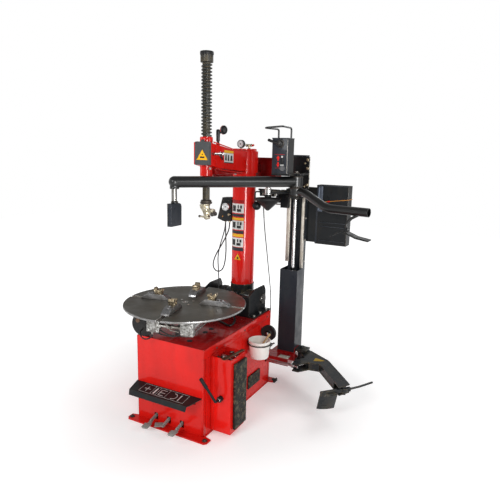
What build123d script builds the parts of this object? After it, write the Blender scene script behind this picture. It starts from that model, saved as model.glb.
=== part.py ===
from build123d import *
import math
import os

# Tire changer machine, in millimetres.  Origin: centre of the four floor anchors, on the floor.
# X to the operator's right, Y towards the back of the machine, Z up.

# ---- driving dimensions --------------------------------------------------------------
CAB_W, CAB_L, CAB_H = 492, 880, 555          # pressed cabinet
BASE_T, WALL = 8, 4                          # floor plate and sheet thicknesses
ANCHOR_X, ANCHOR_Y, ANCHOR_R = 275, 470, 9   # floor anchor holes
TABLE_Y, TABLE_R, TABLE_TOP, TABLE_T = -276, 375, 765, 12
TABLE_TURN = 12                              # angle of the first jaw slot, degrees
SLOT_IN, SLOT_OUT, SLOT_W = 95, 400, 26      # jaw slots, open at the rim, and their width
JAW_R = 175                                  # jaw centre radius at rest
SHAFT_R = 30                                 # turntable shaft
RUN = 0.05                                   # running clearance on a radius
GAP = 0.3                                    # clearance between sliding faces
WHEEL_R, WORM_R = 75, 20                     # worm wheel and worm
DRIVE_Z = 277                                # worm and motor axis height
WORM_Y = TABLE_Y + WHEEL_R + WORM_R + 1
MOTOR_Y = 40
PULLEY_R, MOTOR_PULLEY_R, PULLEY_X, PULLEY_W = 70, 35, -165, 22
PEDAL_X = (-106, -8, 90)
PEDAL_Y, PEDAL_Z, PEDAL_PIN_R = -330, 60, 10
PIVOT_Y, PIVOT_Z, TILT_PIN_R = 420, 640, 25  # column tilt axis
COLUMN_Y, COLUMN_R, COLUMN_TOP = 451, 82.5, 1707
SPINDLE_Y, HEX_AF, SLEEVE_R = -48, 44, 39    # tool spindle
SPRING_LOW, SPRING_HIGH = 1769, 2208
MACHINE_TOP = 2270
RAM_Y, RAM_Z = 388, 195                      # bead breaker rod axis
ARM_PIN = (445, 600)                         # bead breaker arm hinge
ARM_LOW, ARM_HIGH = 170, 230
BLADE_PIN = (895, 205)
BLADE_ANGLE = 49                             # direction of the blade's top bar
MAST_X0, MAST_X1, MAST_Y0, MAST_Y1 = 256, 394, 561, 699
MAST_JOIN, MAST_TOP = 845, 1672
LIFT = (333, 618)                            # lift rod axis
HELPER_PIN, HELPER_PIN_R = (400, 460), 18    # shared pin of the two helper arms
CONE_PIN, CONE_AT = (330, 550), (205, 425)
PRESSER = (-44, -320)
ROCKER = (812, 315, 1222)                    # lifting plate pivot


# ---- small building blocks -----------------------------------------------------------
def block(x0, x1, y0, y1, z0, z1, mode=Mode.ADD):
    """A box between two opposite corners."""
    with Locations(((x0 + x1) / 2, (y0 + y1) / 2, (z0 + z1) / 2)):
        Box(x1 - x0, y1 - y0, z1 - z0, mode=mode)


def post(x, y, z0, z1, radius, mode=Mode.ADD):
    """An upright round bar or hole."""
    with Locations((x, y, (z0 + z1) / 2)):
        Cylinder(radius, z1 - z0, mode=mode)


def bar_x(y, z, x0, x1, radius, mode=Mode.ADD):
    """A round bar or hole along X."""
    with Locations(Location(((x0 + x1) / 2, y, z), (0, 90, 0))):
        Cylinder(radius, x1 - x0, mode=mode)


def bar_y(x, z, y0, y1, radius, mode=Mode.ADD):
    """A round bar or hole along Y."""
    with Locations(Location((x, (y0 + y1) / 2, z), (90, 0, 0))):
        Cylinder(radius, y1 - y0, mode=mode)


def bar(start, end, radius, mode=Mode.ADD):
    """A round bar or hole between two points."""
    run = Vector(*end) - Vector(*start)
    with Locations(Plane(origin=start, z_dir=run)):
        Cylinder(radius, run.length, align=(Align.CENTER, Align.CENTER, Align.MIN), mode=mode)


def tapered_bar(start, end, start_radius, end_radius):
    """A round bar between two points whose radius changes evenly."""
    run = Vector(*end) - Vector(*start)
    with Locations(Plane(origin=start, z_dir=run)):
        Cone(start_radius, end_radius, run.length, align=(Align.CENTER, Align.CENTER, Align.MIN))


def prism(plane, points, amount, mode=Mode.ADD, both=False):
    """A straight-sided plate: an outline on a plane, given a thickness."""
    with BuildSketch(plane) as outline:
        with BuildLine():
            Polyline(*points, close=True)
        make_face()
    extrude(outline.sketch, amount=amount, both=both, mode=mode)


def bent_bar(points, bend, radius, bore=0):
    """A round bar, or a tube with a bore, along straight runs joined by arcs."""
    start = Vector(*points[0])
    with BuildLine() as route:
        FilletPolyline(*points, radius=bend)
    with BuildSketch(Plane(origin=start, z_dir=Vector(*points[1]) - start)) as section:
        Circle(radius)
        if bore:
            Circle(bore, mode=Mode.SUBTRACT)
    sweep(section.sketch, path=route.wires()[0])


def bend_radii(points):
    """Each bend of a hose, as large as its two runs allow."""
    radii = []
    for before, corner, after in zip(points, points[1:], points[2:]):
        first, second = Vector(*corner) - Vector(*before), Vector(*after) - Vector(*corner)
        turn = math.radians(first.get_angle(second))
        radii.append(0.45 * min(first.length, second.length) / math.tan(turn / 2))
    return radii


def hose(points, diameter, name):
    """A limp hose of straight runs and tangent arcs."""
    radii = bend_radii(points)
    start = Vector(*points[0])
    with BuildPart() as tube:
        with BuildLine() as route:
            FilletPolyline(*points, radius=radii)
        with BuildSketch(Plane(origin=start, z_dir=Vector(*points[1]) - start)):
            Circle(diameter / 2)
        sweep(path=route.wires()[0])
    length = route.wires()[0].length
    share = tube.part.volume / (math.pi * diameter**2 / 4 * length)
    print(f"{name}: length {length:.0f}, least bend {min(radii):.0f}, volume / section {share:.3f}")
    return tube


def turned(u, v):
    """A point of the turntable, from its own turned axes to the machine's."""
    angle = math.radians(TABLE_TURN)
    x = u * math.cos(angle) - v * math.sin(angle)
    return x, TABLE_Y + u * math.sin(angle) + v * math.cos(angle)


def turntable_plane(z):
    return Plane(origin=(0, TABLE_Y, z), x_dir=(*Vector(1, 0, 0).rotate(Axis.Z, TABLE_TURN),))


def keep(name, label):
    """Label a finished piece and write it to its own file."""
    name.part.label = label
    export_step(name.part, f"parts/{label}.step")


os.makedirs("parts", exist_ok=True)
half_w, half_l = CAB_W / 2, CAB_L / 2

# ---- floor plate and cabinet ---------------------------------------------------------
with BuildPart() as base_plate:
    block(-250, 250, -498, 470, 0, BASE_T)
    for side in (-1, 1):
        for end in (-1, 1):
            corner = [(side * 215, end * 498), (side * 284, end * 498), (side * 298, end * 482),
                      (side * 298, end * 440), (side * 240, end * 424)]
            prism(Plane.XY, corner, BASE_T)
            post(side * ANCHOR_X, end * ANCHOR_Y, -1, BASE_T + 1, ANCHOR_R, mode=Mode.SUBTRACT)
    for x in (-182, 138):                                   # ears of the pedal shaft
        block(x, x + 8, PEDAL_Y - 22, PEDAL_Y + 22, BASE_T, PEDAL_Z + 20)
    bar_x(PEDAL_Y, PEDAL_Z, -190, 150, PEDAL_PIN_R + 0.2, mode=Mode.SUBTRACT)
keep(base_plate, "base_plate")

with BuildPart() as cabinet_shell:
    block(-half_w, half_w, -half_l, half_l, BASE_T, CAB_H)
    block(WALL - half_w, half_w - WALL, WALL - half_l, half_l - WALL, BASE_T - 1, CAB_H - WALL,
          mode=Mode.SUBTRACT)
    post(0, TABLE_Y, CAB_H - 20, CAB_H + 1, 66, mode=Mode.SUBTRACT)
    for x in PEDAL_X:
        block(x - 14, x + 14, -half_l - 1, -half_l + 20, 24, 68, mode=Mode.SUBTRACT)
    bar_x(RAM_Y, RAM_Z, half_w - 20, half_w + 1, 18, mode=Mode.SUBTRACT)
keep(cabinet_shell, "cabinet_shell")

with BuildPart() as front_visor:
    fold = [(-half_l, 253), (-541, 238), (-548, 205), (-545, 205), (-538.5, 235), (-half_l, 250)]
    prism(Plane.YZ.offset(-254), fold, 489)
    prism(Plane.XY.offset(190), [(-260, -440), (-254, -440), (-230, -550), (-260, -550)], 80,
          mode=Mode.SUBTRACT)
    prism(Plane.XY.offset(190), [(235, -440), (240, -440), (240, -550), (186, -550), (208, -520)],
          80, mode=Mode.SUBTRACT)
    for x in (-235, 186):                                   # stays under the sheet
        prism(Plane.YZ.offset(x), [(-half_l, 251), (-half_l, 205), (-528, 237.8)], 3)
keep(front_visor, "front_visor")

# ---- side box, rubber pads, what hangs on the side -----------------------------------
BOX_X, BOX_Y0, BOX_Y1, BOX_Z0, BOX_Z1, TRAY_Z = 385, -363, -195, 22, 495, 440
with BuildPart() as side_box:
    block(half_w, BOX_X, BOX_Y0, BOX_Y1, BOX_Z0, BOX_Z1)
    block(half_w + 3, BOX_X - 3, BOX_Y0 + 3, BOX_Y1 - 3, TRAY_Z, BOX_Z1 + 1, mode=Mode.SUBTRACT)
    block(half_w - 1, BOX_X - 3, BOX_Y0 + 3, BOX_Y1 - 3, BOX_Z0 + 3, TRAY_Z - 3,
          mode=Mode.SUBTRACT)
    bar_y(319, 244, BOX_Y0 - 1, BOX_Y0 + 10, 8 + RUN, mode=Mode.SUBTRACT)
keep(side_box, "side_box")

with BuildPart() as bead_pads:
    with BuildSketch(Plane.YZ.offset(BOX_X)):
        with Locations(((-335 - 198) / 2, (45 + 462) / 2)):
            RectangleRounded(137, 417, 10)
    extrude(amount=20)
    block(half_w, half_w + 12, 105, 278, 80, 170)
keep(bead_pads, "bead_pads")

BUCKET = (325, 116)
with BuildPart() as paste_bucket:
    with BuildSketch(Plane.XZ) as wall:
        with BuildLine():
            Polyline((0, 332), (62, 332), (73.5, 454), (71.5, 454), (60.2, 334.5), (0, 334.5),
                     close=True)
        make_face()
    revolve(axis=Axis.Z)
paste_bucket.part.position = (*BUCKET, 0)
keep(paste_bucket, "paste_bucket")

DISC = (306, 296, 442)
with BuildPart() as side_holders:
    with Locations((*BUCKET, 428)):                         # ring round the bucket
        Torus(75.2, 3)
    block(half_w, half_w + 6, BUCKET[1] - 25, BUCKET[1] + 25, 410, 436)
    block(half_w, 312, DISC[1] + 8, DISC[1] + 14, DISC[2] - 20, DISC[2] + 20)
    bar_y(DISC[0], DISC[2], DISC[1] - 22, DISC[1] + 10, 9)  # peg
    bar_y(DISC[0], DISC[2], DISC[1] - 10, DISC[1] + 6, 55)  # spare flange disc
    bar_y(DISC[0], DISC[2], DISC[1] - 16, DISC[1] - 10, 20)
keep(side_holders, "side_holders")

with BuildPart() as side_lever:
    bar_y(319, 244, BOX_Y0 - 24, BOX_Y0 - GAP, 17)
    bar_y(319, 244, BOX_Y0 - 10, BOX_Y0 + 14, 8)
    bent_bar([(319, -380, 244), (319, -424, 246), (262, -490, 402)], [12], 8)
    bar((281.6, -467.3, 348.3), (260.6, -491.7, 405.9), 11)
keep(side_lever, "side_lever")

# ---- pedals --------------------------------------------------------------------------
def pedal(x, tread_end):
    """A foot pedal: hub on the shaft, arm through its slot, tread plate out in front."""
    near, far = Vector(x + 4, -490), Vector(*tread_end)
    along = (far - near).normalized()
    across = along.rotate(Axis.Z, 90) * 17
    with BuildPart() as lever:
        bar_x(PEDAL_Y, PEDAL_Z, x - 16, x + 16, 17)
        side = [(PEDAL_Y, PEDAL_Z - 14), (PEDAL_Y, PEDAL_Z + 14), (-440, 61), (-496, 46),
                (-508, 30), (-496, 27), (-440, 41)]
        prism(Plane.YZ.offset(x - 5), side, 10)
        tread = [near + across * 0.5, far + across, far - across, near - across * 0.5]
        prism(Plane.XY.offset(34), [(corner.X, corner.Y) for corner in tread], 7)
        bar_x(PEDAL_Y, PEDAL_Z, x - 30, x + 30, PEDAL_PIN_R + RUN, mode=Mode.SUBTRACT)
    return lever


TREAD_ENDS = ((-86, -578), (-52, -522), (98, -566))         # the middle one is bent aside
for where, x, tread_end in zip(("left", "middle", "right"), PEDAL_X, TREAD_ENDS):
    keep(pedal(x, tread_end), f"pedal_{where}")

# ---- turntable -----------------------------------------------------------------------
with BuildPart() as turntable_plate:
    post(0, TABLE_Y, TABLE_TOP - TABLE_T, TABLE_TOP, TABLE_R)
    with BuildSketch(turntable_plane(TABLE_TOP)) as slots:
        with PolarLocations((SLOT_IN + SLOT_OUT) / 2, 4):
            SlotOverall(SLOT_OUT - SLOT_IN, SLOT_W)
    extrude(slots.sketch, amount=-TABLE_T, mode=Mode.SUBTRACT)
    chamfer(turntable_plate.edges().filter_by(GeomType.CIRCLE).filter_by(
        lambda edge: edge.radius > TABLE_R - 1), 2)
keep(turntable_plate, "turntable_plate")

WHEEL_LOW, WHEEL_HIGH = 262, 292
with BuildPart() as turntable_shaft:
    post(0, TABLE_Y, TABLE_TOP - TABLE_T - 12, TABLE_TOP - TABLE_T, 70)
    post(0, TABLE_Y, WHEEL_LOW, TABLE_TOP - TABLE_T - 12, SHAFT_R)
    post(0, TABLE_Y, 217, WHEEL_LOW, 25)
    post(0, TABLE_Y, WHEEL_LOW, WHEEL_HIGH, WHEEL_R)        # worm wheel, pressed and keyed on
    with BuildSketch(Plane.XY.offset(WHEEL_LOW)) as teeth:
        with Locations((0, TABLE_Y)):
            with PolarLocations(WHEEL_R, 40):
                Rectangle(6, 5)
    extrude(teeth.sketch, amount=WHEEL_HIGH - WHEEL_LOW, mode=Mode.SUBTRACT)
keep(turntable_shaft, "turntable_shaft")

with BuildPart() as gearbox_housing:
    block(-120, 120, -396, -144, 215, 340)
    block(-108, 108, -384, -156, 227, 328, mode=Mode.SUBTRACT)
    post(0, TABLE_Y, 328, 600, 62)
    post(0, TABLE_Y, 320, 601, SHAFT_R + RUN, mode=Mode.SUBTRACT)
    post(0, TABLE_Y, 360, 560, 42, mode=Mode.SUBTRACT)
    post(0, TABLE_Y, 214, 230, 25 + RUN, mode=Mode.SUBTRACT)
    for x in (-150, 120):                                   # feet down to the floor plate
        for y in (-300, -180):
            block(x, x + 30, y, y + 30, BASE_T, 227)
    bar_x(WORM_Y, DRIVE_Z, -121, 121, 12 + RUN, mode=Mode.SUBTRACT)
keep(gearbox_housing, "gearbox_housing")

with BuildPart() as worm_shaft:
    bar_x(WORM_Y, DRIVE_Z, PULLEY_X - 14, 126, 12)
    bar_x(WORM_Y, DRIVE_Z, -60, 60, WORM_R)
    bar_x(WORM_Y, DRIVE_Z, PULLEY_X - PULLEY_W / 2, PULLEY_X + PULLEY_W / 2, PULLEY_R)
keep(worm_shaft, "worm_shaft")

with BuildPart() as drive_motor:
    bar_x(MOTOR_Y, DRIVE_Z, -125, 120, 70)
    bar_x(MOTOR_Y, DRIVE_Z, -126, -90, 11, mode=Mode.SUBTRACT)
    for x in (-80, 50):                                     # feet
        block(x, x + 30, MOTOR_Y - 60, MOTOR_Y + 60, BASE_T, DRIVE_Z - 60)
keep(drive_motor, "drive_motor")

with BuildPart() as motor_pulley:
    bar_x(MOTOR_Y, DRIVE_Z, PULLEY_X - PULLEY_W / 2, PULLEY_X + PULLEY_W / 2, MOTOR_PULLEY_R)
    bar_x(MOTOR_Y, DRIVE_Z, PULLEY_X, -92, 11 - RUN)
keep(motor_pulley, "motor_pulley")


def belt_outline(grow):
    """The hull of the two pulleys, grown by a margin, as seen along X."""
    with Locations((WORM_Y, DRIVE_Z)):
        Circle(PULLEY_R + grow)
    with Locations((MOTOR_Y, DRIVE_Z)):
        Circle(MOTOR_PULLEY_R + grow)
    make_hull()


with BuildPart() as drive_belt:
    with BuildSketch(Plane.YZ.offset(PULLEY_X - 8)) as outer:
        belt_outline(7)
    extrude(outer.sketch, amount=16)
    with BuildSketch(Plane.YZ.offset(PULLEY_X - 8)) as inner:
        belt_outline(0.5)
    extrude(inner.sketch, amount=16, mode=Mode.SUBTRACT)
keep(drive_belt, "drive_belt")

CAP_U, CAP_V, CAP_Z = 115, 215, 676
with BuildPart() as clamp_cylinders:
    for u in (-CAP_U, CAP_U):
        with BuildSketch(turntable_plane(0)) as marks:      # barrel, caps and hangers from above
            with Locations((u, 0)):
                Rectangle(95, 2 * CAP_V + 30)
                Rectangle(95, 2 * CAP_V - 30, mode=Mode.SUBTRACT)
        extrude(marks.sketch.moved(Location((0, 0, CAP_Z - 41))), amount=82)
        bar((*turned(u, 15 - CAP_V), CAP_Z), (*turned(u, CAP_V - 15), CAP_Z), 35)
        for v in (-150, 150):
            with BuildSketch(turntable_plane(CAP_Z)) as hanger:
                with Locations((u, v)):
                    Rectangle(40, 24)
            extrude(hanger.sketch, amount=TABLE_TOP - TABLE_T - CAP_Z)
    bar((*turned(47 - CAP_U, -CAP_V), CAP_Z), (*turned(CAP_U - 47, -CAP_V), CAP_Z), 11)
    bar((*turned(-227, -122), 640), (*turned(-227, -92), 640), 72)      # exhaust muffler
    bar((*turned(-180, -107), 660), (*turned(-140, -107), 660), 9)
keep(clamp_cylinders, "clamp_cylinders")


def jaw(number):
    """A clamping jaw: slider in its slot, stepped block and tooth above the plate."""
    angle = TABLE_TURN + 90 * number
    low, high = TABLE_TOP - TABLE_T - GAP, TABLE_TOP + GAP
    with BuildPart() as slider:
        with Locations(Location((0, TABLE_Y, 0), (0, 0, angle))):
            with Locations((JAW_R, 0, (740 + low) / 2)):
                Box(60, 46, low - 740)
            with Locations((JAW_R, 0, (low + high) / 2)):
                Box(30, SLOT_W - 4, high - low)
            with Locations((JAW_R, 0, high + 11)):
                Box(74, 50, 22)
            with Locations((JAW_R + 18, 0, high + 22 + 12)):
                Box(26, 44, 24)
            with Locations((JAW_R - 24, 0, high + 22 + 7)):
                Box(20, 44, 14)
    return slider


for number in range(4):
    keep(jaw(number), f"jaw_{number + 1}")

muffler_x, muffler_y = turned(-227, -122)
ahead_x, ahead_y = turned(-227, -152)
cap_x, cap_y = turned(-CAP_U, -CAP_V)
clamp_hose = hose([(muffler_x, muffler_y, 604), (ahead_x, ahead_y, 604), (-174, -500, 596),
                   (-147, -519, 584), (-116, -526, 580), (-90, -521, 586),
                   (-72, -513, 602), (cap_x, cap_y, 618), (cap_x, cap_y, CAP_Z - 41)],
                  8, "clamp_hose")
keep(clamp_hose, "clamp_hose")

# ---- column bracket, column and tilt ---------------------------------------------------
with BuildPart() as column_bracket:
    cheek = [(208, 555), (463, 555), (463, 700), (440, 738), (300, 738), (208, 706)]
    for x in (-190, 180):
        prism(Plane.YZ.offset(x), cheek, 10)
    block(-180, 180, 208, 218, CAB_H, 700)
    block(-236, 236, 208, 463, CAB_H, CAB_H + 8)
    bar_x(PIVOT_Y, PIVOT_Z, -200, 200, TILT_PIN_R + 0.2, mode=Mode.SUBTRACT)
keep(column_bracket, "column_bracket")

with BuildPart() as frame_fasteners:
    bar_x(PIVOT_Y, PIVOT_Z, -196, 196, TILT_PIN_R)          # tilt pin and its heads
    for x in (-196, 190.2):
        bar_x(PIVOT_Y, PIVOT_Z, x, x + 6, 36)
    bar_x(PEDAL_Y, PEDAL_Z, -186, 150, PEDAL_PIN_R)         # pedal shaft
    for x in (-215, 215):                                   # bracket bolts on the cabinet top
        for y in (235, 330, 425):
            post(x, y, CAB_H + 8, CAB_H + 17, 11)
    post(*ARM_PIN, 148, 262, 18)                            # bead breaker arm pin
keep(frame_fasteners, "frame_fasteners")

with BuildPart() as column_tube:
    post(0, COLUMN_Y, 606, COLUMN_TOP, COLUMN_R)
    post(0, COLUMN_Y, 700, COLUMN_TOP - 8, COLUMN_R - 6, mode=Mode.SUBTRACT)
    bar_x(PIVOT_Y, PIVOT_Z, -170, 170, 50)
    bar_x(PIVOT_Y, PIVOT_Z, -171, 171, TILT_PIN_R + RUN, mode=Mode.SUBTRACT)
keep(column_tube, "column_tube")

PUSH_Z, CYL_R = 665, 30
with BuildPart() as tilt_cylinder:
    bar_y(0, PUSH_Z, 218, 305, CYL_R)
    bar_y(0, PUSH_Z, 224, 297, 24, mode=Mode.SUBTRACT)
    bar_y(0, PUSH_Z, 290, 306, 12 + RUN, mode=Mode.SUBTRACT)
keep(tilt_cylinder, "tilt_cylinder")

with BuildPart() as tilt_rod:
    bar_y(0, PUSH_Z, 245, 361.5, 12)
    bar_y(0, PUSH_Z, 230, 245, 24 - RUN)
keep(tilt_rod, "tilt_rod")

ARM_X = 58
with BuildPart() as column_arm:
    side = [(-100, 1600), (-100, 1736), (184, 1697), (451, 1690), (451, 1541), (-10, 1581)]
    inside = [(0, 1592), (0, 1715), (184, 1690), (360, 1684), (360, 1556)]
    prism(Plane.YZ, side, ARM_X, both=True)
    prism(Plane.YZ, inside, ARM_X - 6, both=True, mode=Mode.SUBTRACT)
    post(0, COLUMN_Y, 1541, 1690, COLUMN_R + 12)            # collar round the column
    post(0, SPINDLE_Y, 1530, SPRING_LOW, SLEEVE_R)          # spindle sleeve
    post(0, SPINDLE_Y, 1500, SPRING_LOW + 1, 26, mode=Mode.SUBTRACT)
    post(0, COLUMN_Y, 1500, 1750, COLUMN_R, mode=Mode.SUBTRACT)
keep(column_arm, "column_arm")

with BuildPart() as lock_box:
    block(-36, 70, -124, -100, 1598, 1740)
    fillet(lock_box.edges().filter_by(Axis.Z), 5)
keep(lock_box, "lock_box")

with BuildPart() as rear_tray:
    block(-332, 200, 546, 650, 1499, 1648)
    block(-329, 197, 545, 647, 1502, 1645, mode=Mode.SUBTRACT)
    block(-30, 30, COLUMN_Y + COLUMN_R + 12, 647, 1545, 1600)
keep(rear_tray, "rear_tray")

GAUGE_FRONT = 415
GAUGE_OUTLINE = [(-162, 1356), (-COLUMN_R - 0.1, 1360), (-COLUMN_R - 0.1, 1184), (-153, 1180),
                 (-204, 1198)]
AIR_X, AIR_Y = COLUMN_R * math.sqrt(0.5), COLUMN_Y + COLUMN_R * math.sqrt(0.5)
with BuildPart() as gauge_box:
    prism(Plane.XZ.offset(-GAUGE_FRONT - 65), GAUGE_OUTLINE, 65)
    block(-COLUMN_R - 4, -COLUMN_R - 0.1, 446, 456, 1200, 1340)
keep(gauge_box, "gauge_box")

with BuildPart() as pressure_gauges:
    bar_y(-122, 1290, GAUGE_FRONT - 22, GAUGE_FRONT, 31)    # tyre pressure dial
    for x, y in ((-105, 430), (-148, 444), (-160, 462)):    # hose fittings
        post(x, y, 1174, 1192, 8)
    prism(Plane.XZ.offset(-GAUGE_FRONT - 65), GAUGE_OUTLINE, 65, mode=Mode.SUBTRACT)
    bar_y(-5, 1739, 394, 416, 27)                           # air supply dial on the column
    post(-5, 405, COLUMN_TOP, 1720, 7)
    post(50, 420, COLUMN_TOP, 1730, 7)                      # brass tee
    bar_x(420, 1730, 24, 78, 8)
    bar((AIR_X - 6, AIR_Y - 6, 1340), (AIR_X + 6, AIR_Y + 6, 1340), 7)  # air line fitting
    post(0, COLUMN_Y, 1300, 1400, COLUMN_R, mode=Mode.SUBTRACT)
keep(pressure_gauges, "pressure_gauges")

inflation_hose = hose([(-105, 430, 1174), (-105, 430, 1128), (-132, 421, 1062), (-164, 411, 996),
                       (-198, 403, 938), (-222, 399, 880), (-228, 400, 832), (-208, 405, 800),
                       (-178, 411, 796), (-152, 417, 816), (-138, 423, 862), (-133, 430, 934),
                       (-137, 436, 1010), (-144, 441, 1076), (-148, 444, 1134), (-148, 444, 1174)],
                      9, "inflation_hose")
keep(inflation_hose, "inflation_hose")

supply_hose = hose([(-160, 462, 1174), (-160, 462, 1132), (-176, 452, 1058), (-194, 438, 982),
                    (-198, 420, 906), (-180, 398, 838), (-158, 372, 772), (-142, 346, 706),
                    (-131, 322, 634), (-131, 322, 563)], 8, "supply_hose")
keep(supply_hose, "supply_hose")

air_line = hose([(AIR_X + 6, AIR_Y + 6, 1340), (AIR_X + 23, AIR_Y + 23, 1340), (98, 547, 1328),
                 (107, 551, 1304), (111, 552, 1270), (117, 549, 1208), (129, 547, 1108),
                 (145, 545, 1006), (158, 547, 903), (172, 548, 800), (187, 546, 698),
                 (197, 542, 602), (203, 532, 524), (204, 518, 472), (203, 496, 443),
                 (201, 468, 430), (200, half_l, 430)], 7, "air_line")
keep(air_line, "air_line")

# ---- spindle ---------------------------------------------------------------------------
with BuildPart() as hex_spindle:
    with BuildSketch(Plane.XY.offset(1379)):
        with Locations((0, SPINDLE_Y)):
            RegularPolygon(HEX_AF / 2, 6, major_radius=False)
    extrude(amount=SPRING_HIGH - 1379)
    post(0, SPINDLE_Y, SPRING_HIGH, MACHINE_TOP, 39)        # cap over the spring
    fillet(hex_spindle.edges().group_by(Axis.Z)[-1], 6)
keep(hex_spindle, "hex_spindle")

with BuildPart() as return_spring:
    post(0, SPINDLE_Y, SPRING_LOW + GAP, SPRING_HIGH - GAP, 34)
    post(0, SPINDLE_Y, SPRING_LOW, SPRING_HIGH, 27, mode=Mode.SUBTRACT)
keep(return_spring, "return_spring")

with BuildPart() as mount_head:
    post(0, SPINDLE_Y, 1360, 1379, 37)                      # flange under the shaft
    post(0, SPINDLE_Y, 1300, 1360, 26)
    block(-62, 20, SPINDLE_Y - 22, SPINDLE_Y + 22, 1292, 1322)
    prism(Plane.XZ.offset(-SPINDLE_Y - 18),
          [(-62, 1322), (-62, 1275), (-44, 1262), (52, 1262), (60, 1274), (20, 1300), (20, 1322)],
          36)
    bar_y(44, 1300, SPINDLE_Y - 20, SPINDLE_Y + 20, 14)     # roller
keep(mount_head, "mount_head")

# ---- hand controls on the arm ------------------------------------------------------------
with BuildPart() as lock_joystick:
    with Locations((0, 88, 1727)):
        Sphere(13)
    post(0, 88, 1727, 1750, 6)
    post(0, 88, 1747, 1822, 12)
    fillet(lock_joystick.edges().group_by(Axis.Z)[-1], 6)
keep(lock_joystick, "lock_joystick")

with BuildPart() as release_lever:
    with Locations((-19, 119, 1720)):
        Sphere(11)
    bent_bar([(-19, 119, 1720), (-19, 119, 1792), (0, 160, 1822)], [12], 6)
    with Locations((0, 160, 1822)):
        Sphere(20)
keep(release_lever, "release_lever")

# ---- bead breaker ------------------------------------------------------------------------
with BuildPart() as bead_cylinder:
    bar_x(RAM_Y, RAM_Z, -180, 160, 45)
    bar_x(RAM_Y, RAM_Z, -170, 150, 40, mode=Mode.SUBTRACT)
    bar_x(RAM_Y, RAM_Z, 140, 161, 10 + RUN, mode=Mode.SUBTRACT)
    for x in (-150, 110):                                   # saddles down to the floor plate
        block(x, x + 20, RAM_Y - 35, RAM_Y + 35, BASE_T, RAM_Z - 43)
keep(bead_cylinder, "bead_cylinder")

with BuildPart() as bead_rod:
    bar_x(RAM_Y, RAM_Z, 60, 505, 10)
    bar_x(RAM_Y, RAM_Z, 45, 60, 40 - RUN)
    bar_x(RAM_Y, RAM_Z, 450, 466, 16)
    bar_x(RAM_Y, RAM_Z, 490, 500, 16)
keep(bead_rod, "bead_rod")

OUTLINE = [(452, 560), (412, 578), (412, 632), (448, 646), (486, 640), (682, 523), (920, 244),
           (876, 164), (641, 437), (566, 424), (516, 352), (470, 350), (462, 410), (510, 486)]
with BuildPart() as bead_arm:
    for z in (ARM_LOW, ARM_HIGH - 8):
        prism(Plane.XY.offset(z), OUTLINE, 8)
    webs = [((500, 632), (682, 523), -90), ((682, 523), (862, 312), -90),
            ((641, 437), (812, 238), 90), ((566, 424), (641, 437), 90)]
    for (x0, y0), (x1, y1), inward in webs:                 # upright webs between the plates
        across = Vector(x1 - x0, y1 - y0).normalized().rotate(Axis.Z, inward)
        corners = [(x0 + across.X * 3, y0 + across.Y * 3), (x1 + across.X * 3, y1 + across.Y * 3),
                   (x1 + across.X * 11, y1 + across.Y * 11), (x0 + across.X * 11, y0 + across.Y * 11)]
        prism(Plane.XY.offset(ARM_LOW), corners, ARM_HIGH - ARM_LOW)
    post(*ARM_PIN, ARM_LOW, ARM_HIGH, 33)
    post(*ARM_PIN, ARM_LOW - 1, ARM_HIGH + 1, 18 + RUN, mode=Mode.SUBTRACT)
    post(*BLADE_PIN, ARM_LOW, ARM_HIGH, 12)                 # pin of the blade
keep(bead_arm, "bead_arm")


def on_bar(along, across=0):
    """A point beside the blade pin, along and across the blade's top bar."""
    angle = math.radians(BLADE_ANGLE)
    return (BLADE_PIN[0] + along * math.cos(angle) - across * math.sin(angle),
            BLADE_PIN[1] + along * math.sin(angle) + across * math.cos(angle))


with BuildPart() as bead_blade:
    bar_low, bar_high = 187, 213
    prism(Plane.XY.offset(bar_low), [on_bar(-170, -9), on_bar(46, -9), on_bar(46, 9),
                                     on_bar(-170, 9)], bar_high - bar_low)
    post(*BLADE_PIN, bar_low, bar_high, 22)
    with BuildSketch(Plane.XY.offset(bar_low)) as shovel:   # concave blade seen from above
        with BuildLine():
            front = ThreePointArc(on_bar(-172, 0), on_bar(-110, -22), on_bar(-60, -24))
            back = ThreePointArc(on_bar(-172, 8), on_bar(-110, -13), on_bar(-60, -15))
            Line(front @ 0, back @ 0)
            Line(front @ 1, back @ 1)
        make_face()
    extrude(shovel.sketch, amount=126, dir=(-0.24, 0.30, -0.92))
    prism(Plane.XY.offset(bar_low), [on_bar(-171, 0), on_bar(-110, -20), on_bar(-60, -22),
                                     on_bar(-52, -9), on_bar(-52, 0)], 10)
    bent_bar([(*on_bar(46), 200), (*on_bar(120, 8), 200), (*on_bar(234, 29), 203)], [200], 7)
    post(*BLADE_PIN, bar_low - 1, bar_high + 1, 12 + RUN, mode=Mode.SUBTRACT)
keep(bead_blade, "bead_blade")

# ---- helper: frame, mast, lift -------------------------------------------------------------
with BuildPart() as mast_frame:
    block(100, MAST_X1, half_l + 6, 705, 150, 205)
    block(105, MAST_X1 - 5, half_l + 11, 700, 155, 200, mode=Mode.SUBTRACT)
    block(99, MAST_X0 - 46, 560, 706, 149, 206, mode=Mode.SUBTRACT)
    block(100, MAST_X0 - 46, 555, 560, 150, 205)
    block(MAST_X0 - 46, MAST_X0 - 41, 555, 705, 150, 205)
    block(MAST_X0, MAST_X1, 555, 705, 205, 216)
    block(312, 390, half_l + 12, 498, 205, 209)             # step plate
    block(80, half_w, half_l, half_l + 6, 90, 265)          # flange on the cabinet's back
    for z in (150, 236):                                    # lugs of the arm pin
        block(MAST_X1, 487, 560, 642, z, z + 15)
        post(*ARM_PIN, z - 1, z + 16, 18.2, mode=Mode.SUBTRACT)
    block(MAST_X1, MAST_X1 + 6, 560, 642, 150, 251)
keep(mast_frame, "mast_frame")

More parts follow.
